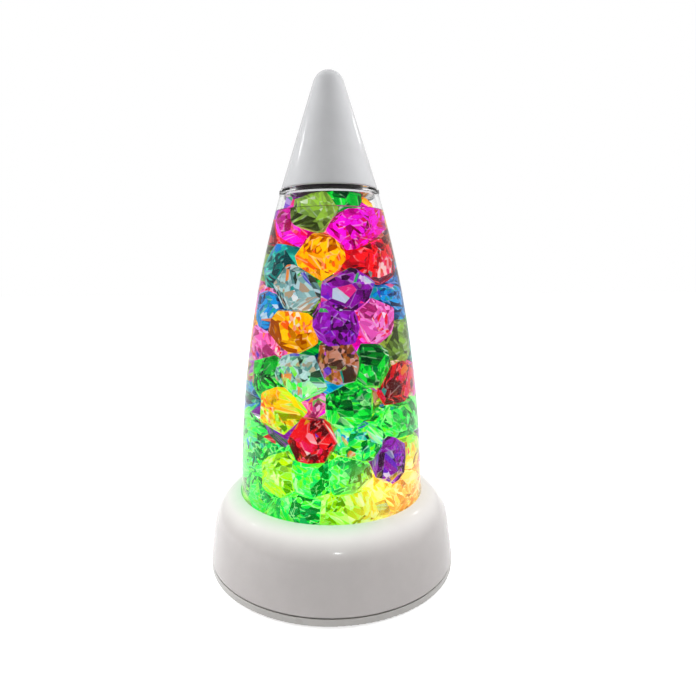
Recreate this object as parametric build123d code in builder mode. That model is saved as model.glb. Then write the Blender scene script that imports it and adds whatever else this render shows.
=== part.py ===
"""Gem lamp: a pointed clear vessel of faceted gems, capped by a cone and lit from a round base.

Sizes are in millimetres. The lamp stands on Z = 0 around the Z axis, and its front faces -Y.
"""

import math
import os

from build123d import *

os.makedirs("parts", exist_ok=True)

# Fits shared by the pieces
seat_gap = 0.05
slip_gap = 0.1
running_gap = 0.3

# Base shell, around the vessel's foot
foot_proud = 1
seam_gap = 0.4
shoulder_reach = 14.2
shell_lean = 2.9
shell_shoulder_height = 26.8
collar_lap = 7.3
collar_gap = 0.35
shell_wall = 2.4
shell_edge_round = 0.5
collar_wall = 2
seat_thickness = 2
seat_ledge = 7.3
gasket_thickness = 1
gasket_edge = 0.8
gasket_inset = 1

# Vessel
vessel_height = 168
vessel_floor = 2.5
vessel_wall = 2.2
vessel_widest_radius = 49.95
vessel_widest_rise = 1
vessel_top_radius = 25.34
vessel_foot_round = 2
lip_height = 1.6
lip_proud = 0.3
shoulder_thickness = 2.4
neck_ledge = 4.94
neck_wall = 2.8
neck_height = 7
bead_proud = 0.35
bead_half_height = 0.6
bead_rise = 4

# Cap and stopper
cap_height = 59.6
cap_inset = 0.42
cap_tip_radius = 8.3
cap_wall = 2
sleeve_wall = 1.3
sleeve_height = 6.4
sleeve_groove_height = 3.6
stopper_reach = 0.2
stopper_flange_ledge = 1
stopper_flange = 2
stopper_wall = 5
stopper_floor = 3
stopper_rib_height = 1
stopper_rib_pitch = 2.5

# Base plate
plate_setback = 0.1
plate_rim_height = 3.8
plate_seam = 0.6
plate_floor = 2.4
plate_edge_round = 0.8
spigot_inset = 3
spigot_wall = 2
spigot_height = 3.2
spigot_chamfer = 0.6
bolt_inset = 4.8
bolt_count = 4

# Screws
boss_radius = 3.6
boss_foot = 7
plate_screw_radius = 1.45
plate_screw_length = 16
plate_screw_head_radius = 2.9
plate_screw_head = 1.6
pad_radius = 4.4
small_screw_radius = 0.9
small_screw_length = 2.9
small_screw_head_radius = 1.8
small_screw_head = 1
screw_edge = 0.3

# Rubber feet
foot_radius = 5
foot_pocket = 0.8
foot_round = 0.4

# Battery bay
cell_radius = 7.25
cell_body_length = 49
cell_nub_radius = 2.7
cell_nub_length = 1.5
cell_edge_round = 0.6
cell_spacing = 0.7
cell_count = 3
cell_side_gap = 0.85
bay_wall = 1.8
bay_roof = 1.8
cell_clearance = 0.3
cell_head_room = 0.5
ridge_width = 8
ridge_tip = 1.2
ridge_depth = 4

# Battery contacts
contact_sheet = 0.5
contact_width = 9
contact_drop = 3.55
contact_head_room = 1.5
leaf_width = 5
leaf_height = 6.8
leaf_sheet = 0.5
leaf_reach = 5
dimple_radius = 2.2
dimple_reach = 1.5
tab_width = 3
tab_slot_gap = 0.3
tab_proud = 0.8

# Battery door
door_recess = 0.2
door_thickness = 2
door_ledge = 0.6
ear_width = 16
ear_length = 12
ear_corner = 3
door_boss_radius = 3.4
door_boss_height = 1.4
tongue_width = 4
tongue_reach = 2.3
tongue_root = 4
tongue_thickness = 1.2
tongue_slot_height = 3.4
door_screw_radius = 1.2
door_screw_head_radius = 2.5
door_screw_head = 1.4
door_screw_length = 8.2
door_screw_bore = 1.8
pillar_radius = 4.2
pillar_height = 7
screw_slot = 0.7

# Light board
board_margin = 3.26
board_thickness = 1.6
post_height = 2.7
post_radius = 2.4
post_side_inset = 3.3
post_end_inset = 2.5
led_size = 5
led_height = 1.6
led_lens_radius = 2
led_lens_height = 0.4
led_ring_radius = 12
led_count = 6
chip_length = 5
chip_width = 4
chip_height = 1.6
chip_offset = 8
reflector_bore_radius = 19
reflector_foot = 3
reflector_rise = 5.1
reflector_edge = 0.5
reflector_wall = 1.2

# Switch
switch_stand_off = 19.9
switch_width = 8.4
switch_length = 14.4
switch_height = 5.6
switch_ear_length = 25
switch_ear_width = 6
switch_ear = 1.2
switch_screw_pitch = 20
switch_travel = 4
slider_width = 5.6
slider_length = 7
slider_height = 1.6
knob_width = 3.8
knob_length = 4
knob_clear = 0.3
knob_groove = 0.3
knob_groove_pitch = 1.2
pocket_width = 9
pocket_length = 15
pocket_depth = 1
pocket_corner = 2
lead_radius = 0.6
lead_pitch = 5
lead_height = 7
lead_stand_off = 7.4

# Gems
gem_gap = 0.3
gem_wall_gap = 0.3
gem_inset = 8.8
gem_depth = 8
gem_block = 50
gem_table = 8
gem_crown = 8.8
gem_girdle = 10.6
gem_pavilion = 9.8
gem_culet = 12
gem_crown_angle = 42
gem_pavilion_angle = 132
gem_tilt = 20
gem_wall_step = 14
gem_sides = 5

# Gems that show: colour, turn from the front in degrees, share of the gem column's height, share of the depth
front_gem_shares = [
    ("lime", -22, 0.94, 0),
    ("green", 32, 0.98, 0.5),
    ("magenta", -66, 0.90, 0.5),
    ("magenta", 28, 0.88, 0),
    ("magenta", 76, 0.92, 0.5),
    ("amber", -10, 0.80, 0.2),
    ("red", 71, 0.78, 0.3),
    ("red", 36, 0.79, 0.8),
    ("teal", -68, 0.77, 0.4),
    ("clear", -34, 0.705, 0.1),
    ("purple", 17, 0.70, 0.4),
    ("purple", 5, 0.605, 0),
    ("pink", 45, 0.61, 0.4),
    ("blue", -72, 0.63, 0.3),
    ("amber", -38, 0.58, 0.5),
    ("blue", 88, 0.65, 0.5),
    ("lime", 74, 0.53, 0.2),
    ("pink", -80, 0.52, 0.6),
    ("copper", 8, 0.49, 0.5),
    ("green", 36, 0.475, 0.3),
    ("red", 63, 0.41, 0),
    ("green", -62, 0.425, 0.4),
    ("clear", -24, 0.45, 0.3),
    ("green", 14, 0.365, 0.1),
    ("amber", -45, 0.34, 0.4),
    ("red", -13, 0.26, 0),
    ("teal", 21, 0.25, 0.5),
    ("purple", 46, 0.18, 0),
    ("green", 70, 0.29, 0.3),
    ("clear", -14, 0.15, 0.4),
    ("lime", -38, 0.135, 0.3),
    ("teal", -69, 0.18, 0.2),
    ("green", 12, 0.155, 0.3),
    ("amber", 61, 0.06, 0),
    ("amber", 14, 0.05, 0.2),
    ("green", -22, 0.045, 0.1),
    ("green", -62, 0.065, 0.2),
    ("amber", 77, 0.18, 0.5),
]
gem_colours = ["red", "teal", "amber", "purple", "green", "pink", "clear", "blue", "lime", "magenta"]
gem_colours.append("copper")
back_tiers = 9
back_turns = (110, 157, 203, 250)
core_tiers = 6
core_ring_count = 4
core_ring_share = 0.37
spine_count = 3

# Shares and angles that vary the gems
gem_swing_share = 2.4
gem_rise_share = 1.7
gem_turn_share = 0.37
gem_uneven_share = 0.07
gem_stretch_share = 0.13
core_height_share = 0.6
spine_start_share = 0.66
spine_step_share = 0.13
lead_bend_share = 0.45

# Radii that follow from the sizes above
opening_radius = vessel_widest_radius + collar_gap
shell_shoulder_radius = opening_radius + shoulder_reach
shell_foot_radius = shell_shoulder_radius + shell_lean
plate_radius = shell_foot_radius - plate_setback
spigot_radius = plate_radius - spigot_inset
bolt_circle_radius = spigot_radius - spigot_wall - bolt_inset
seat_bore_radius = opening_radius - seat_ledge
gasket_inner_radius = seat_bore_radius + gasket_inset
gasket_outer_radius = opening_radius - gasket_edge
reflector_rim_radius = seat_bore_radius - reflector_edge
neck_radius = vessel_top_radius - neck_ledge
neck_bore_radius = neck_radius - neck_wall
stopper_flange_radius = neck_radius - stopper_flange_ledge

# Battery bay, board and switch, sized by the cells
cell_pitch = 2 * cell_radius + cell_spacing
bay_length = cell_body_length + cell_nub_length + dimple_reach + leaf_reach + 2 * contact_sheet
bay_width = (cell_count - 1) * cell_pitch + 2 * cell_radius + 2 * cell_side_gap
board_radius = math.hypot(bay_length / 2, cell_pitch) + board_margin
post_x = bay_width / 2 - post_side_inset
post_y = bay_length / 2 - post_end_inset
switch_radius = bay_width / 2 + bay_wall + switch_stand_off
lead_landing_radius = bay_width / 2 + bay_wall + lead_stand_off

# Heights that follow from the sizes above
plate_bottom = foot_proud
plate_top = plate_bottom + plate_floor
rim_top = plate_bottom + plate_rim_height
shell_bottom = rim_top + plate_seam
door_bottom = plate_bottom + door_recess
door_top = door_bottom + door_thickness
cell_height = door_top + cell_clearance + cell_radius
bay_ceiling = cell_height + cell_radius + cell_head_room
bay_top = bay_ceiling + bay_roof
board_bottom = bay_top + post_height
board_top = board_bottom + board_thickness
contact_bottom = cell_height - contact_drop
contact_top = bay_ceiling - contact_head_room
reflector_rim_height = board_top + reflector_rise
seat_height = reflector_rim_height + running_gap + seat_thickness
vessel_bottom = seat_height + gasket_thickness
vessel_widest_height = vessel_bottom + vessel_widest_rise
shoulder_height = vessel_bottom + vessel_height
shell_top = vessel_widest_height + collar_lap
stopper_bottom = shoulder_height - shoulder_thickness - stopper_reach
cap_bottom = shoulder_height + seam_gap
lamp_height = cap_bottom + cap_height
neck_top = shoulder_height + neck_height
gem_bottom = vessel_bottom + vessel_floor + gem_wall_gap
gem_top = stopper_bottom - gem_wall_gap
hinge_y = bay_length / 2 + running_gap - door_thickness / 2
hinge_z = door_bottom + door_thickness / 2
ear_y = bay_length / 2 + ear_length / 2
contact_face = bay_length / 2 - contact_sheet

# The vessel's side is one arc, upright at its widest height and as narrow as the cap at its shoulder
vessel_rise = shoulder_height - vessel_widest_height
vessel_narrowing = vessel_widest_radius - vessel_top_radius
vessel_arc_radius = (vessel_rise**2 + vessel_narrowing**2) / (2 * vessel_narrowing)


def vessel_radius(height):
    """Outer radius of the vessel's arc at a height."""
    drop = height - vessel_widest_height
    return vessel_widest_radius - vessel_arc_radius + math.sqrt(vessel_arc_radius**2 - drop**2)


def vessel_slope(height):
    """How far the arc's radius falls for each unit of height."""
    drop = height - vessel_widest_height
    return -drop / math.sqrt(vessel_arc_radius**2 - drop**2)


# Vessel: one revolved wall with floor, lip, shoulder and neck
wall_top = shoulder_height - lip_height
inner_top = shoulder_height - shoulder_thickness
floor_top = vessel_bottom + vessel_floor
middle = (vessel_bottom + shoulder_height) / 2
bead_height = shoulder_height + bead_rise
with BuildPart() as vessel:
    with BuildSketch(Plane.XZ):
        with BuildLine():
            Line((0, vessel_bottom), (vessel_radius(vessel_bottom), vessel_bottom))
            ThreePointArc(
                (vessel_radius(vessel_bottom), vessel_bottom),
                (vessel_radius(middle), middle),
                (vessel_radius(wall_top), wall_top),
            )
            Polyline(
                (vessel_radius(wall_top), wall_top),
                (vessel_radius(wall_top) + lip_proud, wall_top),
                (vessel_radius(wall_top) + lip_proud, shoulder_height),
                (neck_radius, shoulder_height),
                (neck_radius, bead_height - bead_half_height),
                (neck_radius + bead_proud, bead_height),
                (neck_radius, bead_height + bead_half_height),
                (neck_radius, neck_top),
                (neck_bore_radius, neck_top),
                (neck_bore_radius, inner_top),
                (vessel_radius(inner_top) - vessel_wall, inner_top),
            )
            ThreePointArc(
                (vessel_radius(inner_top) - vessel_wall, inner_top),
                (vessel_radius(middle) - vessel_wall, middle),
                (vessel_radius(floor_top) - vessel_wall, floor_top),
            )
            Line((vessel_radius(floor_top) - vessel_wall, floor_top), (0, floor_top))
            Line((0, floor_top), (0, vessel_bottom))
        make_face()
    revolve(axis=Axis.Z)
    foot_edge = vessel.edges().filter_by(GeomType.CIRCLE).group_by(Axis.Z)[0]
    fillet(foot_edge.sort_by(SortBy.RADIUS)[-1], vessel_foot_round)
vessel.part.label = "vessel"
export_step(vessel.part, "parts/vessel.step")

# Stopper: hollow rubber bung with sealing ribs and a flange on the neck
with BuildPart() as stopper:
    plug_radius = neck_bore_radius - slip_gap
    with BuildSketch(Plane.XY.offset(stopper_bottom)):
        Circle(plug_radius)
    extrude(amount=neck_top - stopper_bottom)
    with BuildSketch(Plane.XY.offset(neck_top)):
        Circle(stopper_flange_radius)
    extrude(amount=stopper_flange)
    for turn in range(2):
        with BuildSketch(Plane.XY.offset(shoulder_height + turn * stopper_rib_pitch)):
            Circle(neck_bore_radius - seat_gap)
        extrude(amount=stopper_rib_height)
    with BuildSketch(Plane.XY.offset(neck_top + stopper_flange)):
        Circle(plug_radius - stopper_wall)
    extrude(amount=stopper_bottom + stopper_floor - neck_top - stopper_flange, mode=Mode.SUBTRACT)
    lower_rim = stopper.edges().filter_by(GeomType.CIRCLE).group_by(Axis.Z)[0]
    chamfer(lower_rim, screw_edge)
stopper.part.label = "stopper"
export_step(stopper.part, "parts/stopper.step")

# Cap: straight cone with a ball tip, hollow, with a snap sleeve inside its foot
lip_radius = vessel_radius(wall_top)
cap_foot_radius = lip_radius - cap_inset
tip_centre = lamp_height - cap_tip_radius
cone_run = tip_centre - cap_bottom
tip_angle = math.asin(cap_tip_radius / math.hypot(cap_foot_radius, cone_run))
cone_lean = math.atan2(cap_foot_radius, cone_run) - tip_angle
tangent_radius = cap_tip_radius * math.cos(cone_lean)
tangent_height = tip_centre + cap_tip_radius * math.sin(cone_lean)
inner_tip_radius = cap_tip_radius - cap_wall
inner_tangent_radius = inner_tip_radius * math.cos(cone_lean)
inner_tangent_height = tip_centre + inner_tip_radius * math.sin(cone_lean)
inner_foot_radius = cap_foot_radius - cap_wall / math.cos(cone_lean)
sleeve_bore = neck_radius + slip_gap
with BuildPart() as cap:
    with BuildSketch(Plane.XZ):
        with BuildLine():
            Line((0, cap_bottom), (cap_foot_radius, cap_bottom))
            side = Line((cap_foot_radius, cap_bottom), (tangent_radius, tangent_height))
            TangentArc(side @ 1, (0, lamp_height), tangent=side % 1)
            Line((0, lamp_height), (0, cap_bottom))
        make_face()
    revolve(axis=Axis.Z)
    with BuildSketch(Plane.XZ):
        with BuildLine():
            inner_side = Line((inner_foot_radius, cap_bottom), (inner_tangent_radius, inner_tangent_height))
            TangentArc(inner_side @ 1, (0, tip_centre + inner_tip_radius), tangent=inner_side % 1)
            Polyline(inner_side @ 0, (0, cap_bottom), (0, tip_centre + inner_tip_radius))
        make_face()
    revolve(axis=Axis.Z, mode=Mode.SUBTRACT)
    with BuildSketch(Plane.XZ):
        with BuildLine():
            Polyline(
                (sleeve_bore, cap_bottom),
                (sleeve_bore + sleeve_wall, cap_bottom),
                (sleeve_bore + sleeve_wall, cap_bottom + sleeve_groove_height),
                (cap_foot_radius - cap_wall, cap_bottom + sleeve_groove_height),
                (sleeve_bore + sleeve_wall, cap_bottom + sleeve_height),
                (sleeve_bore, cap_bottom + sleeve_height),
                (sleeve_bore, bead_height + bead_half_height + slip_gap),
                (sleeve_bore + bead_proud, bead_height),
                (sleeve_bore, bead_height - bead_half_height - slip_gap),
                close=True,
            )
        make_face()
    revolve(axis=Axis.Z)
    foot_rims = cap.edges().filter_by(GeomType.CIRCLE).group_by(Axis.Z)[0]
    fillet(foot_rims.sort_by(SortBy.RADIUS)[-1], screw_edge)
cap.part.label = "cap"
export_step(cap.part, "parts/cap.step")

# Base shell: leaning side rolled over into the vessel's collar, with a seat inside and bosses for the screws
shell_inner_foot = shell_foot_radius - shell_wall
shell_inner_shoulder = shell_shoulder_radius - shell_wall
collar_radius = opening_radius + collar_wall
with BuildPart() as shell_cavity:
    with BuildSketch(Plane.XZ):
        with BuildLine():
            inner_wall = Line((shell_inner_foot, shell_bottom), (shell_inner_shoulder, shell_shoulder_height))
            TangentArc(inner_wall @ 1, (collar_radius, shell_top - shell_wall), tangent=inner_wall % 1)
            Polyline(
                (collar_radius, shell_top - shell_wall),
                (collar_radius, seat_height - seat_thickness),
                (0, seat_height - seat_thickness),
                (0, shell_bottom),
                (shell_inner_foot, shell_bottom),
            )
        make_face()
    revolve(axis=Axis.Z)
    with BuildSketch(Plane.XY.offset(boss_foot)):
        with PolarLocations(bolt_circle_radius, bolt_count, start_angle=45):
            Circle(boss_radius)
    extrude(amount=shell_top - boss_foot, mode=Mode.SUBTRACT)

with BuildPart() as base_shell:
    with BuildSketch(Plane.XZ):
        with BuildLine():
            wall = Line((shell_foot_radius, shell_bottom), (shell_shoulder_radius, shell_shoulder_height))
            TangentArc(wall @ 1, (opening_radius, shell_top), tangent=wall % 1)
            Polyline((opening_radius, shell_top), (0, shell_top), (0, shell_bottom), wall @ 0)
        make_face()
    revolve(axis=Axis.Z)
    add(shell_cavity.part, mode=Mode.SUBTRACT)
    with BuildSketch(Plane.XY.offset(seat_height)):
        Circle(opening_radius)
    extrude(amount=shell_top - seat_height, mode=Mode.SUBTRACT)
    with BuildSketch(Plane.XY.offset(seat_height)):
        Circle(seat_bore_radius)
    extrude(amount=-seat_thickness, mode=Mode.SUBTRACT)
    with BuildSketch(Plane.XY.offset(boss_foot)):
        with PolarLocations(bolt_circle_radius, bolt_count, start_angle=45):
            Circle(plate_screw_radius + seat_gap)
    extrude(amount=plate_screw_length, mode=Mode.SUBTRACT)
    rims = base_shell.edges().filter_by(GeomType.CIRCLE)
    fillet(rims.group_by(Axis.Z)[-1], shell_edge_round)
    foot_rims = base_shell.edges().filter_by(GeomType.CIRCLE).group_by(Axis.Z)[0]
    fillet(foot_rims.sort_by(SortBy.RADIUS)[-1], shell_edge_round)
base_shell.part.label = "base_shell"
export_step(base_shell.part, "parts/base_shell.step")

# Seat gasket: soft ring between the seat and the vessel's foot
with BuildPart() as seat_gasket:
    with BuildSketch(Plane.XY.offset(seat_height)):
        Circle(gasket_outer_radius)
        Circle(gasket_inner_radius, mode=Mode.SUBTRACT)
    extrude(amount=vessel_bottom - seat_height)
seat_gasket.part.label = "seat_gasket"
export_step(seat_gasket.part, "parts/seat_gasket.step")

# Base plate: rimmed tray with the battery bay, the light board's posts and the pockets of switch and feet
screw_turns = PolarLocations(bolt_circle_radius, bolt_count, start_angle=45).local_locations
with BuildPart() as base_plate:
    with BuildSketch(Plane.XZ):
        with BuildLine():
            Polyline(
                (0, plate_bottom),
                (plate_radius, plate_bottom),
                (plate_radius, rim_top),
                (spigot_radius, rim_top),
                (spigot_radius, rim_top + spigot_height),
                (spigot_radius - spigot_wall, rim_top + spigot_height),
                (spigot_radius - spigot_wall, plate_top),
                (0, plate_top),
                close=True,
            )
        make_face()
    revolve(axis=Axis.Z)
    round_edges = base_plate.edges().filter_by(GeomType.CIRCLE)
    fillet(round_edges.group_by(Axis.Z)[0], plate_edge_round)
    spigot_edges = base_plate.edges().filter_by(GeomType.CIRCLE).group_by(Axis.Z)[-1]
    chamfer(spigot_edges.sort_by(SortBy.RADIUS)[-1], spigot_chamfer)
    # bay walls and roof, with ridges that keep the cells apart
    with BuildSketch(Plane.XY.offset(plate_bottom)):
        Rectangle(bay_width + 2 * bay_wall, bay_length + 2 * bay_wall)
    extrude(amount=bay_top - plate_bottom)
    with BuildSketch(Plane.XY.offset(plate_bottom)):
        Rectangle(bay_width, bay_length)
    extrude(amount=bay_ceiling - plate_bottom, mode=Mode.SUBTRACT)
    ridge_length = 2 * (contact_face - leaf_reach)
    with BuildSketch(Plane.XZ.offset(-ridge_length / 2)):
        for ridge_x in (-cell_pitch / 2, cell_pitch / 2):
            with BuildLine():
                Polyline(
                    (ridge_x - ridge_width / 2, bay_ceiling),
                    (ridge_x + ridge_width / 2, bay_ceiling),
                    (ridge_x + ridge_tip / 2, bay_ceiling - ridge_depth),
                    (ridge_x - ridge_tip / 2, bay_ceiling - ridge_depth),
                    close=True,
                )
            make_face()
    extrude(amount=ridge_length)
    # door opening, with the ear for its screw and slots for its two tongues
    with BuildSketch(Plane.XY.offset(plate_bottom)):
        Rectangle(bay_width + 2 * door_ledge, bay_length + 2 * door_ledge)
        with Locations((0, -ear_y)):
            RectangleRounded(ear_width + 2 * running_gap, ear_length + 2 * running_gap, ear_corner)
    extrude(amount=plate_floor, mode=Mode.SUBTRACT)
    with BuildSketch(Plane.XY.offset(plate_top)):
        with Locations((-cell_pitch / 2, bay_length / 2), (cell_pitch / 2, bay_length / 2)):
            Rectangle(tongue_width + 2 * running_gap, 2 * bay_wall + 2 * running_gap)
    extrude(amount=tongue_slot_height, mode=Mode.SUBTRACT)
    # pillar that takes the door's screw, webbed to the bay's end wall
    with BuildSketch(Plane.XY.offset(door_top + door_boss_height + running_gap)):
        with Locations((0, -ear_y)):
            Circle(pillar_radius)
        with Locations((0, -bay_length / 2 - pillar_radius / 2 - bay_wall / 2)):
            Rectangle(2 * pillar_radius, pillar_radius + bay_wall)
    extrude(amount=pillar_height)
    with BuildSketch(Plane.XY.offset(door_top)):
        with Locations((0, -ear_y)):
            Circle(door_screw_bore)
    extrude(amount=door_boss_height + running_gap + pillar_height - bay_wall, mode=Mode.SUBTRACT)
    # posts of the light board and the slots of the contact tabs
    with BuildSketch(Plane.XY.offset(bay_top)):
        with GridLocations(2 * post_x, 2 * post_y, 2, 2):
            Circle(post_radius)
    extrude(amount=post_height)
    with BuildSketch(Plane.XY.offset(board_bottom)):
        with GridLocations(2 * post_x, 2 * post_y, 2, 2):
            Circle(small_screw_radius + seat_gap)
    extrude(amount=-small_screw_length, mode=Mode.SUBTRACT)
    tab_y = bay_length / 2 - contact_sheet / 2
    with BuildSketch(Plane.XY.offset(bay_ceiling)):
        with Locations((-cell_pitch, tab_y), (cell_pitch, -tab_y)):
            Rectangle(tab_width + 2 * tab_slot_gap, contact_sheet + 2 * tab_slot_gap)
    extrude(amount=bay_roof, mode=Mode.SUBTRACT)
    # raised pads under the shell's bosses, counterbored from below
    with BuildSketch(Plane.XY.offset(plate_top)):
        with Locations(*screw_turns):
            Circle(pad_radius)
    extrude(amount=boss_foot - plate_top)
    with BuildSketch(Plane.XY.offset(plate_bottom)):
        with Locations(*screw_turns):
            Circle(plate_screw_radius + slip_gap)
    extrude(amount=boss_foot - plate_bottom, mode=Mode.SUBTRACT)
    with BuildSketch(Plane.XY.offset(plate_bottom)):
        with Locations(*screw_turns):
            Circle(plate_screw_head_radius + running_gap)
    extrude(amount=2 * plate_screw_head, mode=Mode.SUBTRACT)
    # pockets of the feet
    with BuildSketch(Plane.XY.offset(plate_bottom)):
        with PolarLocations(bolt_circle_radius, bolt_count):
            Circle(foot_radius + slip_gap)
    extrude(amount=foot_pocket, mode=Mode.SUBTRACT)
    # finger pocket, slot and screw holes of the switch
    with BuildSketch(Plane.XY.offset(plate_bottom)):
        with Locations((switch_radius, 0)):
            RectangleRounded(pocket_width, pocket_length, pocket_corner)
    extrude(amount=pocket_depth, mode=Mode.SUBTRACT)
    with BuildSketch(Plane.XY.offset(plate_bottom)):
        with Locations((switch_radius, 0)):
            Rectangle(knob_width + 2 * running_gap, knob_length + switch_travel + 2 * running_gap)
    extrude(amount=plate_floor, mode=Mode.SUBTRACT)
    with BuildSketch(Plane.XY.offset(plate_top)):
        with Locations((switch_radius, -switch_screw_pitch / 2), (switch_radius, switch_screw_pitch / 2)):
            Circle(small_screw_radius + seat_gap)
    extrude(amount=switch_ear - small_screw_length - seat_gap, mode=Mode.SUBTRACT)
base_plate.part.label = "base_plate"
export_step(base_plate.part, "parts/base_plate.step")

# Plate screws: four, up through the plate into the shell's bosses
with BuildPart() as plate_screws:
    head_bottom = plate_bottom + plate_screw_head
    with BuildSketch(Plane.XY.offset(head_bottom)):
        with Locations(*screw_turns):
            Circle(plate_screw_head_radius)
    extrude(amount=plate_screw_head)
    with BuildSketch(Plane.XY.offset(head_bottom + plate_screw_head)):
        with Locations(*screw_turns):
            Circle(plate_screw_radius)
    extrude(amount=plate_screw_length)
    chamfer(plate_screws.edges().filter_by(GeomType.CIRCLE).group_by(Axis.Z)[-1], screw_edge)
    chamfer(plate_screws.edges().filter_by(GeomType.CIRCLE).group_by(Axis.Z)[0], screw_edge)
plate_screws.part.label = "plate_screws"
export_step(plate_screws.part, "parts/plate_screws.step")

# Rubber feet: four discs in the plate's pockets
with BuildPart() as rubber_feet:
    with BuildSketch(Plane.XY):
        with PolarLocations(bolt_circle_radius, bolt_count):
            Circle(foot_radius)
    extrude(amount=foot_proud + foot_pocket)
    fillet(rubber_feet.edges().filter_by(GeomType.CIRCLE).group_by(Axis.Z)[0], foot_round)
rubber_feet.part.label = "rubber_feet"
export_step(rubber_feet.part, "parts/rubber_feet.step")

# Battery cells: three, laid alternately along Y between the contacts
nub_end = contact_face - dimple_reach
with BuildPart() as battery_cells:
    for place in range(cell_count):
        facing = 1 - 2 * (place % 2)
        centre_x = (place - (cell_count - 1) / 2) * cell_pitch
        end_plane = Plane(origin=(centre_x, facing * nub_end, cell_height), z_dir=(0, -facing, 0))
        with BuildSketch(end_plane):
            Circle(cell_nub_radius)
        extrude(amount=cell_nub_length)
        with BuildSketch(end_plane.offset(cell_nub_length)):
            Circle(cell_radius)
        extrude(amount=cell_body_length)
    wide_edges = battery_cells.edges().filter_by(GeomType.CIRCLE).group_by(SortBy.RADIUS)[-1]
    fillet(wide_edges, cell_edge_round)
battery_cells.part.label = "battery_cells"
export_step(battery_cells.part, "parts/battery_cells.step")

# Battery contacts: four plates, with a bowed leaf at each cell's flat end and a dimple at each nub
contact_height = (contact_bottom + contact_top) / 2
with BuildPart() as battery_contacts:
    for end in (1, -1):
        wall_y = end * bay_length / 2
        wall_plane = Plane(origin=(0, wall_y, contact_height), x_dir=(1, 0, 0), z_dir=(0, -end, 0))
        with BuildSketch(wall_plane):
            with Locations((-end * cell_pitch, 0)):
                Rectangle(contact_width, contact_top - contact_bottom)
            with Locations((end * cell_pitch / 2, 0)):
                Rectangle(contact_width + cell_pitch, contact_top - contact_bottom)
        extrude(amount=contact_sheet)
        with BuildSketch(Plane.XY.offset(contact_top - contact_sheet)):
            with Locations((-end * cell_pitch, end * tab_y)):
                Rectangle(tab_width, contact_sheet)
        extrude(amount=board_top + tab_proud - contact_top + contact_sheet)
        for place in range(cell_count):
            facing = 1 - 2 * (place % 2)
            centre_x = (place - (cell_count - 1) / 2) * cell_pitch
            if facing == end:
                nub_plane = Plane(
                    origin=(centre_x, end * contact_face, cell_height), x_dir=(1, 0, 0), z_dir=(0, -end, 0)
                )
                with BuildSketch(nub_plane):
                    Circle(dimple_radius)
                extrude(amount=dimple_reach - seat_gap)
            else:
                reach = leaf_reach - seat_gap
                with BuildSketch(Plane.YZ.offset(centre_x - leaf_width / 2)):
                    with BuildLine():
                        ThreePointArc(
                            (end * contact_face, cell_height - leaf_height / 2),
                            (end * (contact_face - reach), cell_height),
                            (end * contact_face, cell_height + leaf_height / 2),
                        )
                        ThreePointArc(
                            (end * contact_face, cell_height + leaf_height / 2 - leaf_sheet),
                            (end * (contact_face - reach + leaf_sheet), cell_height),
                            (end * contact_face, cell_height - leaf_height / 2 + leaf_sheet),
                        )
                        Line(
                            (end * contact_face, cell_height - leaf_height / 2),
                            (end * contact_face, cell_height - leaf_height / 2 + leaf_sheet),
                        )
                        Line(
                            (end * contact_face, cell_height + leaf_height / 2),
                            (end * contact_face, cell_height + leaf_height / 2 - leaf_sheet),
                        )
                    make_face()
                extrude(amount=leaf_width)
battery_contacts.part.label = "battery_contacts"
export_step(battery_contacts.part, "parts/battery_contacts.step")

# Battery door: panel with a round hinge edge, two tongues over the plate's floor and a screwed ear
door_width = bay_width + 2 * running_gap
panel_length = hinge_y + bay_length / 2 + running_gap
with BuildPart() as battery_door:
    with BuildSketch(Plane.XY.offset(door_bottom)):
        with Locations((0, hinge_y - panel_length / 2)):
            Rectangle(door_width, panel_length)
        with Locations((0, -ear_y)):
            RectangleRounded(ear_width, ear_length, ear_corner)
    extrude(amount=door_thickness)
    with BuildSketch(Plane.YZ.offset(-door_width / 2)):
        with Locations((hinge_y, hinge_z)):
            Circle(door_thickness / 2)
    extrude(amount=door_width)
    with BuildSketch(Plane.XY.offset(door_top)):
        with Locations((0, -ear_y)):
            Circle(door_boss_radius)
    extrude(amount=door_boss_height)
    tongue_bottom = plate_top + slip_gap
    tongue_end = bay_length / 2 + door_ledge + tongue_reach
    with BuildSketch(Plane.YZ.offset(-tongue_width / 2)):
        with BuildLine():
            Polyline(
                (hinge_y - tongue_root, hinge_z),
                (hinge_y, hinge_z),
                (hinge_y, tongue_bottom),
                (tongue_end, tongue_bottom),
                (tongue_end, tongue_bottom + tongue_thickness),
                (hinge_y - tongue_root, tongue_bottom + tongue_thickness),
                close=True,
            )
        make_face()
    tongue = extrude(amount=tongue_width, mode=Mode.PRIVATE)
    with Locations((-cell_pitch / 2, 0, 0), (cell_pitch / 2, 0, 0)):
        add(tongue)
    with BuildSketch(Plane.XY.offset(door_bottom)):
        with Locations((0, -ear_y)):
            Circle(door_screw_head_radius + running_gap)
    extrude(amount=door_recess + door_screw_head, mode=Mode.SUBTRACT)
    with BuildSketch(Plane.XY.offset(door_bottom)):
        with Locations((0, -ear_y)):
            Circle(door_screw_radius + seat_gap)
    extrude(amount=door_thickness + door_boss_height, mode=Mode.SUBTRACT)
battery_door.part.label = "battery_door"
export_step(battery_door.part, "parts/battery_door.step")

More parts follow.
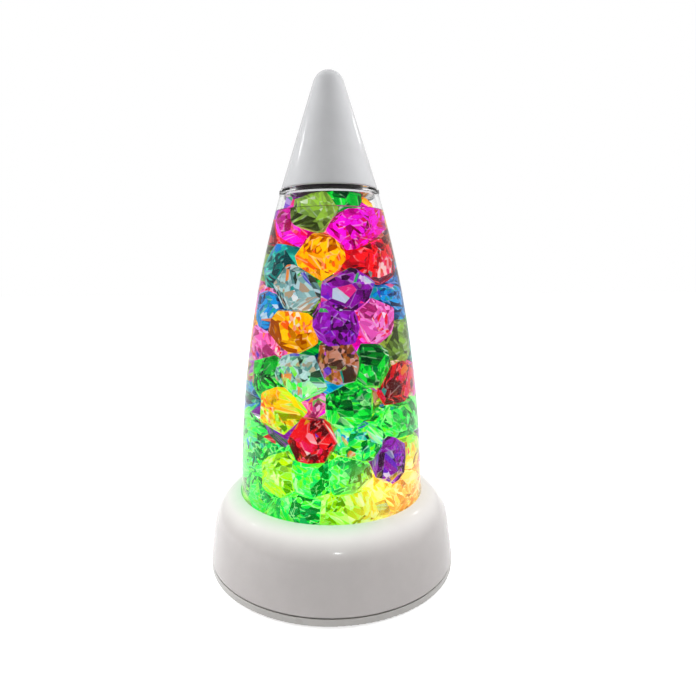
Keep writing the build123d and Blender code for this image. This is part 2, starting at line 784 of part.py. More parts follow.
# Door screw: slotted head in the ear's counterbore
with BuildPart() as door_screw:
    with BuildSketch(Plane.XY.offset(door_bottom + door_recess)):
        with Locations((0, -ear_y)):
            Circle(door_screw_head_radius)
    extrude(amount=door_screw_head)
    with BuildSketch(Plane.XY.offset(door_bottom + door_recess + door_screw_head)):
        with Locations((0, -ear_y)):
            Circle(door_screw_radius)
    extrude(amount=door_screw_length - door_screw_head)
    chamfer(door_screw.edges().filter_by(GeomType.CIRCLE).group_by(Axis.Z)[-1], screw_edge)
    with BuildSketch(Plane.XY.offset(door_bottom + door_recess)):
        with Locations((0, -ear_y)):
            Rectangle(2 * door_screw_head_radius, screw_slot)
    extrude(amount=screw_slot, mode=Mode.SUBTRACT)
door_screw.part.label = "door_screw"
export_step(door_screw.part, "parts/door_screw.step")

# Light board: round board with slots for the contact tabs
with BuildPart() as led_board:
    with BuildSketch(Plane.XY.offset(board_bottom)):
        Circle(board_radius)
        with Locations((-cell_pitch, tab_y), (cell_pitch, -tab_y)):
            Rectangle(tab_width + 2 * tab_slot_gap, contact_sheet + 2 * tab_slot_gap, mode=Mode.SUBTRACT)
        with GridLocations(2 * post_x, 2 * post_y, 2, 2):
            Circle(small_screw_radius + slip_gap, mode=Mode.SUBTRACT)
    extrude(amount=board_thickness)
led_board.part.label = "led_board"
export_step(led_board.part, "parts/led_board.step")

# Lights: six square packages with a round lens
with BuildPart() as leds:
    with BuildSketch(Plane.XY.offset(board_top)):
        with PolarLocations(led_ring_radius, led_count):
            Rectangle(led_size, led_size)
    extrude(amount=led_height)
    with BuildSketch(Plane.XY.offset(board_top + led_height)):
        with PolarLocations(led_ring_radius, led_count):
            Circle(led_lens_radius)
    extrude(amount=led_lens_height)
leds.part.label = "leds"
export_step(leds.part, "parts/leds.step")

# Controller under the board
with BuildPart() as control_chip:
    with BuildSketch(Plane.XY.offset(board_bottom - chip_height)):
        with Locations((0, -chip_offset)):
            Rectangle(chip_length, chip_width)
    extrude(amount=chip_height)
    chamfer(control_chip.edges().group_by(Axis.Z)[0], screw_edge)
control_chip.part.label = "control_chip"
export_step(control_chip.part, "parts/control_chip.step")

# Board screws: four, into the posts
with BuildPart() as board_screws:
    with BuildSketch(Plane.XY.offset(board_top)):
        with GridLocations(2 * post_x, 2 * post_y, 2, 2):
            Circle(small_screw_head_radius)
    extrude(amount=small_screw_head)
    with BuildSketch(Plane.XY.offset(board_top)):
        with GridLocations(2 * post_x, 2 * post_y, 2, 2):
            Circle(small_screw_radius)
    extrude(amount=-small_screw_length)
    chamfer(board_screws.edges().filter_by(GeomType.CIRCLE).group_by(Axis.Z)[-1], screw_edge)
board_screws.part.label = "board_screws"
export_step(board_screws.part, "parts/board_screws.step")

# Reflector: flared ring from the board to the seat's bore
with BuildPart() as reflector:
    with BuildSketch(Plane.XZ):
        with BuildLine():
            Polyline(
                (reflector_bore_radius, board_top),
                (reflector_bore_radius + reflector_foot, board_top),
                (reflector_rim_radius, reflector_rim_height - reflector_wall),
                (reflector_rim_radius, reflector_rim_height),
                (reflector_bore_radius, board_top + reflector_wall),
                close=True,
            )
        make_face()
    revolve(axis=Axis.Z)
reflector.part.label = "reflector"
export_step(reflector.part, "parts/reflector.step")

# Switch body: housing with a guide for the slider and two screwed ears
with BuildPart() as switch_body:
    with BuildSketch(Plane.XY.offset(plate_top)):
        with Locations((switch_radius, 0)):
            Rectangle(switch_ear_width, switch_ear_length)
    extrude(amount=switch_ear)
    with BuildSketch(Plane.XY.offset(plate_top)):
        with Locations((switch_radius, 0)):
            Rectangle(switch_width, switch_length)
    extrude(amount=switch_height)
    with BuildSketch(Plane.XY.offset(plate_top)):
        with Locations((switch_radius, 0)):
            Rectangle(slider_width + 2 * running_gap, slider_length + switch_travel + 2 * running_gap)
    extrude(amount=slider_height + running_gap, mode=Mode.SUBTRACT)
    with BuildSketch(Plane.XY.offset(plate_top)):
        with Locations((switch_radius, -switch_screw_pitch / 2), (switch_radius, switch_screw_pitch / 2)):
            Circle(small_screw_radius + slip_gap)
    extrude(amount=switch_ear, mode=Mode.SUBTRACT)
switch_body.part.label = "switch_body"
export_step(switch_body.part, "parts/switch_body.step")

# Switch screws
with BuildPart() as switch_screws:
    with BuildSketch(Plane.XY.offset(plate_top + switch_ear)):
        with Locations((switch_radius, -switch_screw_pitch / 2), (switch_radius, switch_screw_pitch / 2)):
            Circle(small_screw_head_radius)
    extrude(amount=small_screw_head)
    with BuildSketch(Plane.XY.offset(plate_top + switch_ear)):
        with Locations((switch_radius, -switch_screw_pitch / 2), (switch_radius, switch_screw_pitch / 2)):
            Circle(small_screw_radius)
    extrude(amount=-small_screw_length)
    chamfer(switch_screws.edges().filter_by(GeomType.CIRCLE).group_by(Axis.Z)[-1], screw_edge)
switch_screws.part.label = "switch_screws"
export_step(switch_screws.part, "parts/switch_screws.step")

# Switch slider: block in the housing's guide with a grooved knob through the plate, resting at on
slider_y = switch_travel / 2
knob_bottom = plate_bottom + knob_clear
with BuildPart() as switch_slider:
    with BuildSketch(Plane.XY.offset(plate_top + seat_gap)):
        with Locations((switch_radius, slider_y)):
            Rectangle(slider_width, slider_length)
    extrude(amount=slider_height)
    with BuildSketch(Plane.XY.offset(knob_bottom)):
        with Locations((switch_radius, slider_y)):
            Rectangle(knob_width, knob_length)
    extrude(amount=plate_top + seat_gap - knob_bottom)
    with BuildSketch(Plane.XY.offset(knob_bottom)):
        with Locations((switch_radius, slider_y)):
            with GridLocations(0, knob_groove_pitch, 1, 3):
                Rectangle(knob_width, knob_groove)
    extrude(amount=knob_groove, mode=Mode.SUBTRACT)
switch_slider.part.label = "switch_slider"
export_step(switch_slider.part, "parts/switch_slider.step")

# Switch leads: two wires bent up from the switch's side to the underside of the board
lead_start = switch_radius - switch_width / 2
lead_bend = lead_bend_share * (lead_start - lead_landing_radius)
with BuildPart() as switch_leads:
    for side_y in (-lead_pitch / 2, lead_pitch / 2):
        with BuildLine() as lead_path:
            FilletPolyline(
                (lead_start, side_y, lead_height),
                (lead_landing_radius, side_y, lead_height),
                (lead_landing_radius, side_y, board_bottom),
                radius=lead_bend,
            )
        with BuildSketch(Plane(origin=lead_path.line @ 0, z_dir=lead_path.line % 0)):
            Circle(lead_radius)
        sweep(path=lead_path.line)
switch_leads.part.label = "switch_leads"
export_step(switch_leads.part, "parts/switch_leads.step")


# Gems: each is a convex body, held as the outlines of its faces, that planes cut down from a block
def dot(a, b):
    """Scalar product of two points held as tuples."""
    return a[0] * b[0] + a[1] * b[1] + a[2] * b[2]


def cut(faces, normal, reach):
    """Keeps what lies behind the plane at that reach along the normal, and closes the cut with a facet."""
    kept = []
    rim = set()
    for outline in faces:
        trimmed = []
        for here, after in zip(outline, outline[1:] + outline[:1]):
            depth = dot(here, normal) - reach
            next_depth = dot(after, normal) - reach
            if depth <= 0:
                trimmed.append(here)
            if depth * next_depth < 0:
                inside, outside = (here, after) if depth < 0 else (after, here)
                share = min(depth, next_depth) / (min(depth, next_depth) - max(depth, next_depth))
                crossing = tuple(p + share * (q - p) for p, q in zip(inside, outside))
                trimmed.append(crossing)
                rim.add(crossing)
        if len(trimmed) > 2:
            kept.append(trimmed)
    across = Plane(origin=tuple(sum(values) / len(rim) for values in zip(*rim)), z_dir=normal)
    kept.append(sorted(rim, key=lambda point: bearing(across, point)))
    return kept


def bearing(plane, point):
    """Angle of a point about a plane's origin."""
    local = plane.to_local_coords(Vector(point))
    return math.atan2(local.Y, local.X)


def block(centre):
    """Outlines of the six faces of the block that a gem is cut from."""
    half = gem_block / 2
    faces = []
    for axis in range(3):
        for side in (-half, half):
            outline = []
            for u, v in ((-half, -half), (half, -half), (half, half), (-half, half)):
                corner = [u, v]
                corner.insert(axis, side)
                outline.append(tuple(c + offset for c, offset in zip(centre, corner)))
            faces.append(outline)
    return faces


def facet_planes(seed, axis, sides, phase, stagger):
    """Table, culet, crown, girdle and pavilion of a long cut gem as pairs of normal and reach."""
    frame = Plane(origin=seed, z_dir=axis)
    planes = [(axis, gem_table), (tuple(-value for value in axis), gem_culet)]
    rows = ((gem_crown_angle, gem_crown, 0), (90, gem_girdle, stagger), (gem_pavilion_angle, gem_pavilion, 0))
    for angle, size, offset in rows:
        for step in range(sides):
            turn = math.radians(360 * (step + phase + offset) / sides)
            lean = math.radians(angle)
            normal = (
                frame.x_dir * (math.sin(lean) * math.cos(turn))
                + frame.y_dir * (math.sin(lean) * math.sin(turn))
                + frame.z_dir * math.cos(lean)
            )
            wave = math.sin(angle * step + sides + phase)
            long = math.sin(lean) * math.cos(2 * turn - phase)
            planes.append((tuple(normal), size * (1 + gem_uneven_share * wave + gem_stretch_share * long)))
    return [(tuple(normal), dot(seed, tuple(normal)) + size) for normal, size in planes]


def wall_planes(turn, height):
    """Planes that stay inside the vessel's curved wall around a place."""
    inner = vessel_radius(height) - vessel_wall - gem_wall_gap
    step = gem_wall_step / inner
    chord = inner * math.cos(step / 2) - gem_wall_gap
    lean = math.atan(-vessel_slope(height))
    planes = []
    for offset in (-2, -1, 0, 1, 2):
        angle = turn + offset * step
        out = (math.sin(angle), -math.cos(angle))
        normal = (out[0] * math.cos(lean), out[1] * math.cos(lean), math.sin(lean))
        planes.append((normal, dot(normal, (out[0] * chord, out[1] * chord, height))))
    return planes


def gem_solid(number, seed, seeds):
    """One gem: cut facets first, then the vessel's wall, floor and top, then its neighbours."""
    turn = math.atan2(seed[0], -seed[1])
    swing = math.radians(gem_tilt * math.sin(gem_swing_share * number))
    rise = math.radians(gem_tilt * math.cos(gem_rise_share * number))
    axis = (
        math.sin(turn + swing) * math.cos(rise),
        -math.cos(turn + swing) * math.cos(rise),
        math.sin(rise),
    )
    planes = facet_planes(seed, axis, gem_sides + number % 2, gem_turn_share * number, (number % 3) / 4)
    planes += wall_planes(turn, seed[2])
    planes += [((0, 0, 1), gem_top), ((0, 0, -1), -gem_bottom)]
    for other in seeds:
        away = Vector(*other) - Vector(*seed)
        if 0 < away.length < gem_block:
            normal = tuple(away.normalized())
            planes.append((normal, dot(seed, normal) + (away.length - gem_gap) / 2))
    faces = block(seed)
    for normal, reach in planes:
        if any(dot(point, normal) > reach for outline in faces for point in outline):
            faces = cut(faces, normal, reach)
    return Solid(Shell([Face(Wire.make_polygon([Vector(*p) for p in outline])) for outline in faces]))


def gem_place(turn, share, inset):
    """Point at a turn from the front, at a share of the gem column's height, that far inside the wall."""
    height = gem_bottom + share * (gem_top - gem_bottom)
    radius = vessel_radius(height) - vessel_wall - inset
    return (radius * math.sin(math.radians(turn)), -radius * math.cos(math.radians(turn)), height)


gems = [
    (colour, gem_place(turn, share, gem_inset + gem_depth * depth_share))
    for colour, turn, share, depth_share in front_gem_shares
]
for tier in range(back_tiers):
    tier_share = (tier + 0.5) / back_tiers
    for step, turn in enumerate(back_turns):
        lift = (step % 2) / (2 * back_tiers)
        colour = gem_colours[(3 * tier + 4 * step) % len(gem_colours)]
        gems.append((colour, gem_place(turn, min(tier_share + lift, 1 - lift), gem_inset)))
for tier in range(core_tiers):
    tier_share = core_height_share * (tier + 0.5) / core_tiers
    for step in range(core_ring_count):
        turn = 360 * (step + tier / 2) / core_ring_count
        height = gem_bottom + tier_share * (gem_top - gem_bottom)
        depth = (vessel_radius(height) - vessel_wall) * (1 - core_ring_share)
        colour = gem_colours[(2 * tier + 5 * step) % len(gem_colours)]
        gems.append((colour, gem_place(turn, tier_share, depth)))
for tier in range(spine_count):
    tier_share = spine_start_share + spine_step_share * tier
    height = gem_bottom + tier_share * (gem_top - gem_bottom)
    colour = gem_colours[4 * (spine_count - 1 - tier)]
    gems.append((colour, gem_place(0, tier_share, vessel_radius(height) - vessel_wall)))

gem_seeds = [seed for colour, seed in gems]
for colour in gem_colours:
    with BuildPart() as gem_group:
        add([gem_solid(n, seed, gem_seeds) for n, (shade, seed) in enumerate(gems) if shade == colour])
    gem_group.part.label = f"gems_{colour}"
    export_step(gem_group.part, f"parts/gems_{colour}.step")
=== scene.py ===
"""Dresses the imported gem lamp: clear vessel, liquid, cut gems, white housing and the parts inside its base.

Every length is in metres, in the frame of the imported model: the lamp stands on Z = 0 and faces -Y.
"""

import math

import bmesh
import bpy
import numpy as np
from bpy.props import FloatProperty, FloatVectorProperty, IntProperty, PointerProperty
from mathutils import Matrix, Vector


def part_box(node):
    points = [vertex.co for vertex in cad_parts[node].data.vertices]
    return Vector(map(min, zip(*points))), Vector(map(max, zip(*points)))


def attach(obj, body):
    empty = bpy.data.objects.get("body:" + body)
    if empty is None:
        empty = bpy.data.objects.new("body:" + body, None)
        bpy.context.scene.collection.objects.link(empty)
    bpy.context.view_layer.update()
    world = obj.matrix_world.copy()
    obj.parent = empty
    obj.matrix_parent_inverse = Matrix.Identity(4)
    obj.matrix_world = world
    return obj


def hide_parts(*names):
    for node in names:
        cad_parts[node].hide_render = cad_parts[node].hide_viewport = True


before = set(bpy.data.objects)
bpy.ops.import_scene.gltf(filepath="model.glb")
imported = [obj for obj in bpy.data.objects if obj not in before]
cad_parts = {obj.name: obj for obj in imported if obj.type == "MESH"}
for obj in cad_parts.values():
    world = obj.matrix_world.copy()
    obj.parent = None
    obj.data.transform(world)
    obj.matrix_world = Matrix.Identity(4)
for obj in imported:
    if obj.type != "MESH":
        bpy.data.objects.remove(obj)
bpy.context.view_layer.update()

bl_info = {
    "name": "Gem Lamp",
    "version": (1, 0, 0),
    "blender": (4, 5, 0),
    "location": "3D View > Sidebar > Gem Lamp",
    "description": "Builds a lit lamp of faceted gems in a clear pointed vessel",
    "category": "Object",
}

BODY = "lamp"
VESSEL_LOW, VESSEL_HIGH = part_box("vessel")
CAP_LOW, CAP_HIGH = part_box("cap")
SHELL_LOW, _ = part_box("base_shell")

# Settings


def colour_prop(label, about, value):
    """A colour that a user may change."""
    return FloatVectorProperty(
        name=label, description=about, default=value, size=3, min=0, max=1, subtype="COLOR"
    )


def length_prop(label, about, value):
    """A length in metres that a user may change."""
    return FloatProperty(name=label, description=about, default=value, unit="LENGTH", precision=5)


def angle_prop(label, about, degrees):
    """An angle that a user may change, given in degrees."""
    return FloatProperty(name=label, description=about, default=math.radians(degrees), subtype="ANGLE")


def number_prop(label, about, value, kind="NONE"):
    """A number of 0 or more that a user may change."""
    return FloatProperty(name=label, description=about, default=value, min=0, subtype=kind)


class HousingSettings(bpy.types.PropertyGroup):
    """Sizes, colours and light of the white mouldings."""

    white: colour_prop("White", "Colour of the cap", (0.695, 0.70, 0.715))
    warm_white: colour_prop("Warm white", "Colour of the base shell", (0.64, 0.598, 0.588))
    plate: colour_prop("Plate", "Colour of the base plate and its door", (0.62, 0.60, 0.575))
    edge_round: length_prop("Edge round", "Radius on the moulded edges", 0.0006)
    cap_wall: length_prop("Cap wall", "Wall of the cone", 0.002)
    cap_foot: length_prop("Cap foot", "Radius of the cone's foot", 0.0254)
    cap_tip: length_prop("Cap tip", "Radius of the cone's ball tip", 0.0083)
    shell_wall: length_prop("Shell wall", "Wall of the base shell", 0.0024)
    shell_foot: length_prop("Shell foot", "Radius of the shell's foot", 0.0674)
    shell_top: length_prop("Shell top", "Height of the shell's lip", 0.0413)
    shoulder_radius: length_prop("Shoulder radius", "Radius where the side starts to roll over", 0.0645)
    shoulder_height: length_prop("Shoulder height", "Height where the side starts to roll over", 0.0268)
    lip_round: length_prop("Lip round", "Radius on the lip of the opening", 0.00084)
    opening: length_prop("Opening", "Radius of the vessel's opening in the shell", 0.0503)
    collar_wall: length_prop("Collar wall", "Wall of the collar and the seat", 0.002)
    seat_height: length_prop("Seat height", "Height of the seat under the vessel", 0.032)
    seat_bore: length_prop("Seat bore", "Radius of the light's opening in the seat", 0.043)
    spill: number_prop("Spill", "Strength of the vessel's light on the shell", 0.34)
    hollow: number_prop("Hollow", "Strength of the light inside the cone", 0.27)


class VesselSettings(bpy.types.PropertyGroup):
    """Sizes of the clear vessel and its liquid."""

    arc: length_prop("Arc", "Radius of the vessel's long side arc", 0.579)
    widest: length_prop("Widest height", "Height at which the vessel is widest", 0.034)
    radius: length_prop("Radius", "Radius at the widest height", 0.04995)
    wall: length_prop("Wall", "Wall thickness", 0.0022)
    floor: length_prop("Floor", "Floor thickness", 0.0025)
    shoulder: length_prop("Shoulder", "Height of the shoulder under the cap", 0.201)
    shoulder_wall: length_prop("Shoulder wall", "Thickness of the shoulder", 0.0024)
    lip: length_prop("Lip", "Height of the lip at the shoulder", 0.0016)
    lip_proud: length_prop("Lip proud", "How far the lip stands out", 0.0003)
    neck: length_prop("Neck", "Outer radius of the neck", 0.0204)
    bore: length_prop("Bore", "Radius of the neck's bore", 0.0176)
    edge_round: length_prop("Edge round", "Radius on the edges of lip and neck", 0.0003)
    level: length_prop("Liquid level", "Height of the liquid's surface", 0.1900)
    meniscus: length_prop("Meniscus", "How far the liquid climbs the wall", 0.0006)
    lap: length_prop("Lap", "How far the liquid laps into the wall, to leave no air between", 0.0003)


class GemSettings(bpy.types.PropertyGroup):
    """Cut of the gems and size of the shards seen in them."""

    bevel: length_prop("Bevel", "Width of the polished edge between facets", 0.0004)
    large: number_prop("Large shards", "Large shards to a metre", 115)
    middle: number_prop("Middle shards", "Middle shards to a metre", 300)
    small: number_prop("Small shards", "Small shards to a metre", 420)
    others: number_prop("Other shards", "Shards in other gems' colours to a metre", 150)
    light: number_prop("Light", "Strength of a gem's own light", 0.58)


class GlowSettings(bpy.types.PropertyGroup):
    """Light that rises from the base."""

    left: colour_prop("Left", "Light on the left and in the middle", (0.0, 0.75, 0.06))
    right: colour_prop("Right", "Light on the right", (1.0, 0.42, 0.05))
    reach: length_prop("Reach", "Height that the light climbs among the gems", 0.095)
    strength: number_prop("Strength", "Strength of the light at the floor", 0.14)
    liquid_low: length_prop("Liquid low", "Height where the liquid's tint starts to fade", 0.036)
    gem_low: length_prop("Gem low", "Height where the light on the gems starts to fade", 0.040)
    near_low: length_prop("Near low", "Height up to which every gem takes the light", 0.042)
    near_high: length_prop("Near high", "Height from which each gem takes its own share", 0.066)
    amber_low: length_prop("Amber low", "Height where the amber starts to fade", 0.055)
    amber_high: length_prop("Amber high", "Height where the amber ends", 0.07)
    amber_side: length_prop("Amber side", "Distance to the right where all the light is amber", 0.03)


class StageSettings(bpy.types.PropertyGroup):
    """Camera, floor and studio lights."""

    distance: length_prop("Camera distance", "Distance from the lamp's axis", 0.27891)
    height: length_prop("Camera height", "Height above the floor", 0.15736)
    pitch: angle_prop("Pitch", "How far the camera looks down", 7.95)
    roll: angle_prop("Roll", "How far the camera leans", -0.39)
    lens: FloatProperty(name="Lens", description="Focal length in millimetres", default=26.635, min=1)
    shift: FloatProperty(name="Shift", description="Sideways shift of the frame", default=0.02547)
    floor: colour_prop("Floor", "Colour of the floor", (0.9, 0.9, 0.9))
    side_power: number_prop("Side lights", "Power of the left side light", 1.4, "POWER")
    right_share: number_prop("Right share", "Share of that power in the right side light", 0.27)
    top_power: number_prop("Top light", "Power of the top light", 14.2, "POWER")
    strip_power: number_prop("Strip lights", "Power of each strip light at the back", 0.09, "POWER")
    front_share: number_prop("Front share", "Power of the front strip light, in those of the back", 2.4)
    surround: number_prop("Surround", "Strength of the white surround as a light", 0.16)
    segments: IntProperty(name="Segments", description="Steps around each turned piece", default=192, min=24)


class LampSettings(bpy.types.PropertyGroup):
    """All settings of the lamp."""

    housing: PointerProperty(type=HousingSettings)
    vessel: PointerProperty(type=VesselSettings)
    gems: PointerProperty(type=GemSettings)
    glow: PointerProperty(type=GlowSettings)
    stage: PointerProperty(type=StageSettings)


def settings():
    """The lamp's settings on the current scene."""
    return bpy.context.scene.gem_lamp


# Gem tones as screen levels: dark, main, bright and accent, dark and bright being painted shade and light of
# the main colour; the share of the base's light that each takes, and the share of shards that show other
# gems' colours, below and above the upper gems' height
GEM_TONES = {
    "amber": (((170, 78, 0), (255, 178, 0), (255, 205, 10), (240, 90, 14)), 0.8, (0.04, 0.0)),
    "blue": (((0, 40, 84), (0, 112, 196), (0, 160, 235), (0, 160, 160)), 0.7, (0.05, 0.05)),
    "clear": (((48, 66, 56), (104, 160, 160), (178, 210, 210), (176, 152, 120)), 2.0, (0.16, 0.2)),
    "copper": (((74, 48, 40), (178, 96, 40), (196, 140, 120), (176, 74, 206)), 0.6, (0.2, 0.2)),
    "green": (((6, 60, 30), (0, 168, 44), (24, 226, 60), (0, 112, 52)), 1.0, (0.03, 0.03)),
    "lime": (((60, 72, 34), (128, 164, 66), (146, 192, 62), (104, 138, 60)), 0.9, (0.0, 0.0)),
    "magenta": (((140, 0, 62), (234, 4, 180), (255, 20, 245), (220, 14, 84)), 0.1, (0.0, 0.0)),
    "pink": (((170, 40, 110), (246, 96, 200), (252, 160, 230), (230, 16, 56)), 0.1, (0.08, 0.08)),
    "purple": (((56, 14, 60), (138, 22, 160), (162, 36, 198), (104, 30, 190)), 0.1, (0.0, 0.24)),
    "red": (((92, 16, 26), (208, 14, 30), (246, 26, 34), (244, 30, 100)), 0.1, (0.02, 0.05)),
    "teal": (((8, 70, 76), (0, 150, 140), (40, 210, 190), (10, 130, 220)), 0.9, (0.08, 0.04)),
}
OTHER_TONES = ((66, 44, 204), (0, 150, 140), (190, 214, 220), (240, 40, 120))
OTHER_TONES += ((244, 130, 30), (44, 38, 40), (30, 186, 60))
# Height of the upper gems, and the heights below and above it where the share changes
UPPER_HEIGHT, UPPER_BLEND = 0.142, 0.002
# Axis that the shards turn about, and their scale along each axis
SHARD_AXIS, SHARD_SCALE = (0.4, 0.3, 0.87), (1.5, 0.3, 1.0)
# Linear red above which a gem counts as warm, and the least share of light that gems take near the floor
WARM_RED, NEAR_SHARE = 0.2, 0.9
# Weights of a facet and of its large shards in a tone's level, what is added, and weights of the small shards
FACET_WEIGHT, LARGE_WEIGHT, LEVEL_LIFT, SMALL_WEIGHT = 0.48, 0.4, 0.06, (0.25, 0.75)
# Strength of other gems' colours, of painted highlights on the shards' borders,
# of painted highlight or shade on the polished edges, and of glints in the base's light
OTHER_MIX, BORDER_GLINT_MIX, EDGE_MIX, GLINT_MIX = 0.85, 0.3, 0.6, 0.6
# Seed of the facets' chance values, factor for a second one, and how far chance decides which shards are lit
CHANCE_SEED, SECOND_CHANCE, CATCH_CHANCE = 7, 7.3, 0.9

# Widths beyond the shell's opening where the spilt light starts to fade, ends, and has turned nearly white
SPILL_FADE, SPILL_END, SPILL_WHITE = 0.006, 0.0155, 0.008
# Distances to the right between which the spilt light turns from green to warm white
SPILL_SIDE = (0.005, 0.035)
# Depths under the cone's outer face where the light inside it is full and where it ends
HOLLOW_FULL, HOLLOW_END = 0.0010, 0.0004
# Heights above the cone's foot between which that light fades
HOLLOW_FADE = (0.010, 0.030)
# Heights between which a light's resin turns bright, and half the length of a cell's sleeve
LENS_HEIGHTS, SLEEVE_HALF = (0.0258, 0.0262), 0.02535
# Depths of bump in a fine grain and in a moulded skin
GRAIN, SKIN = 0.0001, 0.0002

# Share of the studio's white that gloss shows, and what is left of it in gloss behind this many clear layers
GLOSS_WHITE, INNER_WHITE, CLEAR_LAYERS = 0.55, 0.2, 3
# Half the floor's width, the distances between which its white rises, and the share it rises from
FLOOR_HALF, FLOOR_RISE, FLOOR_NEAR = 4, (0.2, 0.8), 0.72

# Distances within which points are merged, and the angle within which triangles make one facet
RING_MERGE, SLIVER, GEM_MERGE, FLAT_ANGLE = 1e-6, 1e-7, 2e-6, math.radians(0.5)

# Cap: room around the neck, wall of its sleeve, and underside, top and outward rise of the sleeve's web
SLEEVE_GAP, SLEEVE_WALL, WEB_LOW, WEB_HIGH, WEB_RISE = 0.0001, 0.0013, 0.0036, 0.0064, 0.0002
# Vessel: width and height of the rounded foot, start of the side above it, inner corners at floor and top
FOOT_ROUND, FOOT_RISE, SIDE_START, FLOOR_ROUND, SHOULDER_EASE = 0.0022, 0.0024, 0.0025, 0.0015, 0.001
# Liquid: rim at the wall, and width of the climb there, in heights of it
LIQUID_RIM, CLIMB_WIDTH = 0.0002, 1.2
# Shell: start of the side above the foot
SHELL_START = 0.0012
# Points along the curves of the outlines
CONE_POINTS, TIP_POINTS, SHELL_POINTS, ROLL_POINTS = 24, 16, 12, 40
VESSEL_POINTS, FOOT_POINTS, FLOOR_POINTS, LIQUID_POINTS, SURFACE_POINTS = 90, 8, 6, 100, 40

# Profiles and turned surfaces


def arc(start, end, centre, count):
    """Points of a circle about a centre, at even angles from the start point to the end point."""
    first, last = np.subtract(start, centre), np.subtract(end, centre)
    begin, finish = math.atan2(first[1], first[0]), math.atan2(last[1], last[0])
    finish -= round((finish - begin) / math.tau) * math.tau
    angles = np.linspace(begin, finish, count)
    radius = np.linspace(np.hypot(*first), np.hypot(*last), count)
    return np.column_stack([centre[0] + radius * np.cos(angles), centre[1] + radius * np.sin(angles)])


def rounded(points, radius, corners, steps=5, most=0.45):
    """Some corners of a closed outline, each replaced by a quadratic curve.

    The curve starts a radius before the corner and ends a radius after it, at most this share of each edge.
    """
    points = np.asarray(points, float)
    before = np.roll(points, 1, 0) - points
    after = np.roll(points, -1, 0) - points
    reach_in = np.minimum(radius, most * np.hypot(*before.T))[:, None]
    reach_out = np.minimum(radius, most * np.hypot(*after.T))[:, None]
    first = points + before / np.hypot(*before.T)[:, None] * reach_in
    last = points + after / np.hypot(*after.T)[:, None] * reach_out
    t = np.linspace(0, 1, steps)[None, :, None]
    curve = (1 - t) ** 2 * first[:, None] + 2 * t * (1 - t) * points[:, None] + t**2 * last[:, None]
    return curve[corners].reshape(-1, 2)


def vessel_radius(height, inset=0.0):
    """Radius of the vessel at a height: a circle of the long arc, centred level with the widest height."""
    sizes = settings().vessel
    drop = np.asarray(height) - sizes.widest
    return sizes.radius - inset - sizes.arc + np.sqrt(sizes.arc**2 - drop**2)


def put(name, mesh):
    """New object at the origin with this mesh, riding on the lamp's body."""
    piece = bpy.data.objects.new(name, mesh)
    bpy.context.scene.collection.objects.link(piece)
    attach(piece, BODY)
    return piece


def turned(name, outline, crease=35.0):
    """Surface of a closed (radius, height) outline carried around Z: each point sweeps a ring of equal steps.

    Points on the axis are merged to one pole, so the surface is closed.
    """
    outline = np.asarray(outline, float)
    count = settings().stage.segments
    turn = np.arange(count) * math.tau / count
    vertices = np.stack(
        [
            np.multiply.outer(outline[:, 0], np.cos(turn)),
            np.multiply.outer(outline[:, 0], np.sin(turn)),
            np.repeat(outline[:, 1:], count, 1),
        ],
        -1,
    ).reshape(-1, 3)
    row, column = np.meshgrid(np.arange(len(outline)), np.arange(count), indexing="ij")
    below, beside = (row + 1) % len(outline), (column + 1) % count
    faces = np.stack(
        [row * count + column, row * count + beside, below * count + beside, below * count + column], -1
    ).reshape(-1, 4)
    mesh = bpy.data.meshes.new(name)
    mesh.from_pydata(vertices.tolist(), [], faces.tolist())
    mesh.validate()
    work = bmesh.new()
    work.from_mesh(mesh)
    bmesh.ops.remove_doubles(work, verts=work.verts, dist=RING_MERGE)
    bmesh.ops.dissolve_degenerate(work, edges=work.edges, dist=SLIVER)
    bmesh.ops.recalc_face_normals(work, faces=work.faces)
    work.to_mesh(mesh)
    work.free()
    mesh.shade_smooth()
    mesh.set_sharp_from_angle(angle=math.radians(crease))
    return put(name, mesh)


# Materials


class Nodes:
    """A node tree, with short calls to add and join nodes."""

    def __init__(self, tree):
        self.tree = tree

    def add(self, kind, **values):
        """New node; each value sets the node's own property of that name."""
        node = self.tree.nodes.new(kind)
        for name, value in values.items():
            setattr(node, name, value)
        return node

    def feed(self, socket, value):
        """Joins another socket to this one, or sets a plain value on it."""
        if isinstance(value, bpy.types.NodeSocket):
            self.tree.links.new(value, socket)
        else:
            socket.default_value = value

    def spread(self, value, low, high, to_low, to_high, kind="LINEAR"):
        """Maps a value from one span to another, held at the ends."""
        node = self.add("ShaderNodeMapRange", interpolation_type=kind)
        for name, number in zip(("From Min", "From Max", "To Min", "To Max"), (low, high, to_low, to_high)):
            self.feed(node.inputs[name], number)
        self.feed(node.inputs["Value"], value)
        return node.outputs["Result"]

    def math(self, operation, first, second=0.0):
        """Arithmetic on two values."""
        node = self.add("ShaderNodeMath", operation=operation)
        self.feed(node.inputs[0], first)
        self.feed(node.inputs[1], second)
        return node.outputs[0]

    def times(self, first, second):
        """Product of two values."""
        return self.math("MULTIPLY", first, second)

    def plus(self, first, second):
        """Sum of two values."""
        return self.math("ADD", first, second)

    def minus(self, first, second):
        """Difference of two values."""
        return self.math("SUBTRACT", first, second)

    def seen(self):
        """Share of the studio's white that a ray sees: all, straight or through clear pieces; less in gloss.

        Gloss on the gems, behind the vessel and the liquid, shows the least of it.
        """
        rays = self.add("ShaderNodeLightPath").outputs
        white = self.math("MAXIMUM", rays["Is Camera Ray"], rays["Is Transmission Ray"])
        white = self.math("MAXIMUM", white, self.times(rays["Is Glossy Ray"], GLOSS_WHITE))
        layers = self.minus(rays["Transmission Depth"], CLEAR_LAYERS)
        inner = self.times(rays["Glossy Depth"], layers)
        return self.times(white, self.spread(inner, 0, 1, 1, INNER_WHITE))


